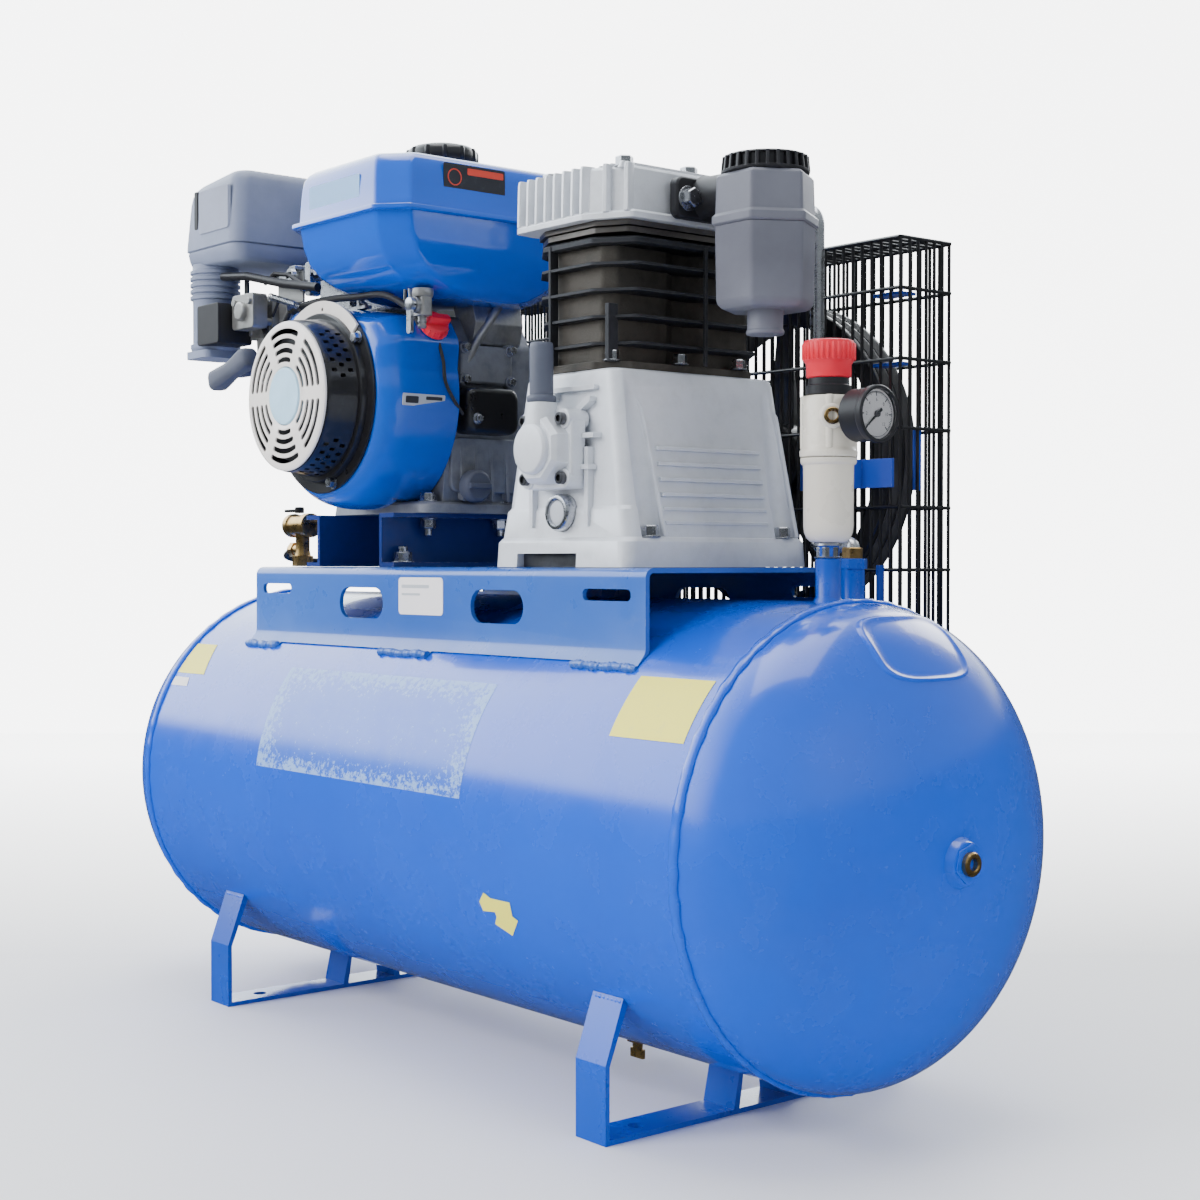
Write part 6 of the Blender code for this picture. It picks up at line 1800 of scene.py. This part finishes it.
# pilot valve: column, side port and barrel along X, lever on top
PILOT_X, PILOT_Y = -262.0, -86.0
piece("pilot_valve_body",
      join(prism(fillet(circle(PILOT_X, PILOT_Y, 10.5, 6), 0.8, 2), PUMP_BASE + 0.2, 441),
           lathe([(441, 8.2), (446, 7.0), (462, 7.0), (466, 8.4)], PILOT_X, PILOT_Y, "z", 28),
           lathe([(PILOT_X - 22, 4.5), (PILOT_X - 21, 6.2), (PILOT_X - 10, 6.2), (PILOT_X, 6)],
                 PILOT_Y, 447, "x", 24),
           prism(fillet(circle(PILOT_Y, 447, 8.2, 6), 0.8, 2), PILOT_X - 18, PILOT_X - 11, "x"),
           lathe([(PILOT_X + x, radius) for x, radius in (
               (-22, 9.0), (-21, 11.6), (-14, 12.0), (-13, 10.6), (8, 10.6), (9, 12.2),
               (17, 12.0), (18, 10))], PILOT_Y, 471, "x", 36)),
      BRASS, replaces="unloader_valve", bevel=0.35)
piece("pilot_valve_lever",
      join(lathe([(483.4, 4.6), (489, 4.6), (489.6, 3.8), (489.6, 0)],
                 PILOT_X - 6, PILOT_Y, "z", 24),
           prism(rounded(PILOT_X - 31, PILOT_X - 2, PILOT_Y - 4.4, PILOT_Y + 4.4, 4, 5),
                 484.6, 487.4)),
      BLACK, "pilot_lever", replaces="unloader_lever", bevel=0.5)
# offsets from the valve in x and y, z
PILOT_LINE = [(-22, 0, 447), (-34, 2, 440), (-36, 30, 436), (-20, 80, 436), (30, 110, 438)]
piece("pilot_line", tube(smooth_path([(PILOT_X + dx, PILOT_Y + dy, z)
                                      for dx, dy, z in PILOT_LINE]), 3.0, 14), CABLE, smooth=60)

# ------------------------------------------------------------- stage and view
CAMERA_AT_MM = (1383.65, -1059.09, 433.61)
YAW, PITCH = math.radians(50.498), math.radians(-1.114)
view = Vector((-math.sin(YAW) * math.cos(PITCH), math.cos(YAW) * math.cos(PITCH),
               math.sin(PITCH)))
camera_data = bpy.data.cameras.new("camera")
camera = bpy.data.objects.new("camera", camera_data)
COLL.objects.link(camera)
camera.location = Vector(CAMERA_AT_MM) * MM
camera.rotation_mode = "QUATERNION"
camera.rotation_quaternion = view.to_track_quat("-Z", "Y")
camera_data.lens = 56.89
camera_data.sensor_width = 36.0
camera_data.clip_start = 0.05
camera_data.clip_end = 50.0
bpy.context.scene.camera = camera


def floor_material():
    """Pale floor that brightens with distance, so it meets the backdrop without a line."""
    graph = new_material("m_floor")
    tone = graph.noise(scale=2.2, detail=3.0)
    place = graph.axes(graph.coord())
    along = graph.math("ADD", graph.math("MULTIPLY", place["X"], view.x),
                       graph.math("MULTIPLY", place["Y"], view.y))
    glow = graph.remap(along, (0.35, 2.5), (0.0, 4.2))
    seen = graph.add("ShaderNodeLightPath").outputs["Is Camera Ray"]
    graph.set(Base_Color=graph.ramp(tone, (0.3, (0.88, 0.885, 0.895)), (0.7, (0.90, 0.905, 0.91))),
              Roughness=0.6, Emission_Color=(1, 1, 1),
              Emission_Strength=graph.math("MULTIPLY", glow, seen))
    return graph.owner


def wall_material():
    """White backdrop, brighter to the camera than to the objects it lights."""
    graph = new_material("m_backdrop")
    tone = graph.noise(scale=1.2, detail=2.0)
    seen = graph.add("ShaderNodeLightPath").outputs["Is Camera Ray"]
    strength = graph.math("ADD", graph.math("MULTIPLY", seen, 4.4), 0.6)
    graph.set(Base_Color=graph.ramp(tone, (0.3, (0.93, 0.93, 0.93)), (0.7, (0.95, 0.95, 0.95))),
              Emission_Color=(1, 1, 1), Emission_Strength=strength, Roughness=0.9)
    return graph.owner


def stage_sheet(name, mesh, material, smooth=False):
    obj = to_object(mesh, name)
    for polygon in obj.data.polygons:
        polygon.use_smooth = smooth
    obj.data.materials.append(material)
    obj.visible_glossy = False


ahead = Vector((view.x, view.y, 0)).normalized()
across = Vector((-ahead.y, ahead.x, 0))
# flat floor that curves up behind the object: distance along the view, height
SWEEP_START, SWEEP_R = 3.2, 1.4
sweep = [(-40.0, 0.0), (SWEEP_START, 0.0)]
for degrees in range(6, 91, 6):
    angle = math.radians(degrees)
    sweep.append((SWEEP_START + SWEEP_R * math.sin(angle), SWEEP_R - SWEEP_R * math.cos(angle)))
sweep.append((4.6, 6.0))
mesh = bmesh.new()
rows = [[mesh.verts.new(ahead * distance + across * width + Vector((0, 0, height - 0.0002)))
         for width in (-30.0, 30.0)] for distance, height in sweep]
for near, far in zip(rows, rows[1:]):
    mesh.faces.new((near[0], near[1], far[1], far[0]))
stage_sheet("floor_sweep", outward(mesh), floor_material(), smooth=True)


def area(name, location, target, size, energy, color=(1, 1, 1), size_y=None, glossy=True):
    """Rectangular lamp aimed at a target; glossy says whether reflections show it."""
    lamp = bpy.data.lights.new(name, "AREA")
    lamp.energy = energy
    lamp.color = color
    lamp.shape = "RECTANGLE"
    lamp.size = size
    lamp.size_y = size_y or size
    obj = bpy.data.objects.new(name, lamp)
    COLL.objects.link(obj)
    obj.location = location
    obj.rotation_mode = "QUATERNION"
    obj.rotation_quaternion = (Vector(target) - Vector(location)).to_track_quat("-Z", "Y")
    if not glossy:
        obj.visible_glossy = False


area("key_front", (-0.5, -2.9, 1.7), target=(0.0, 0.0, 0.45), size=1.8, energy=105,
     color=(1.0, 0.99, 0.98), glossy=False)
area("soft_left", (-2.9, -1.75, 1.95), target=(0.0, 0.0, 0.6), size=2.4, size_y=2.3, energy=60,
     color=(0.98, 0.99, 1.0), glossy=False)
area("top_soft", (0.1, 0.1, 2.9), target=(0.0, 0.0, 0.3), size=2.2, size_y=1.8, energy=48,
     color=(0.97, 0.985, 1.0))
area("fill_right", (3.0, 0.1, 1.5), target=(0.1, 0.0, 0.35), size=1.6, energy=24,
     color=(0.88, 0.94, 1.0), glossy=False)
area("rim_back", (-0.6, 2.6, 2.0), target=(0.0, 0.0, 0.45), size=2.0, size_y=1.2, energy=40)

# bright backdrop behind the object, in front of the floor's upward curve
mesh = bmesh.new()
mesh.faces.new([mesh.verts.new(ahead * 3.1 + across * width + Vector((0, 0, height)))
                for width, height in ((-9.0, -0.05), (9.0, -0.05), (9.0, 7.0), (-9.0, 7.0))])
stage_sheet("backdrop", mesh, wall_material())

world = bpy.data.worlds.new("studio")
bpy.context.scene.world = world
graph = Graph(world)


def background(node, color, strength):
    graph.feed(color, node.inputs["Color"])
    graph.feed(strength, node.inputs["Strength"])
    return node.outputs[0]


def mix_shader(factor, first, second):
    node = graph.add("ShaderNodeMixShader")
    for value, socket in zip((factor, first, second), node.inputs):
        graph.feed(value, socket)
    return node.outputs[0]


light = background(world.node_tree.nodes["Background"], (0.93, 0.955, 1.0), 0.62)
# polished faces mirror a dim surround with an open sky above about ten degrees,
# brightest towards -X
direction = graph.axes(graph.coord("Generated"))
sky = graph.math("MULTIPLY", graph.remap(direction["Z"], (0.15, 0.22), (0.0, 1.0)),
                 graph.remap(direction["X"], (-0.78, 0.10), (5.2, 0.40)))
mirrored = background(graph.add("ShaderNodeBackground"), (0.86, 0.94, 1.0),
                      graph.math("ADD", sky, 0.10))
# seen directly past the backdrop, the surround is as pale as the floor
seen = background(graph.add("ShaderNodeBackground"), (0.95, 0.96, 0.97), 1.0)
rays = graph.add("ShaderNodeLightPath").outputs
surround = mix_shader(rays["Is Camera Ray"],
                      mix_shader(rays["Is Glossy Ray"], light, mirrored), seen)
graph.feed(surround, world.node_tree.nodes["World Output"].inputs["Surface"])
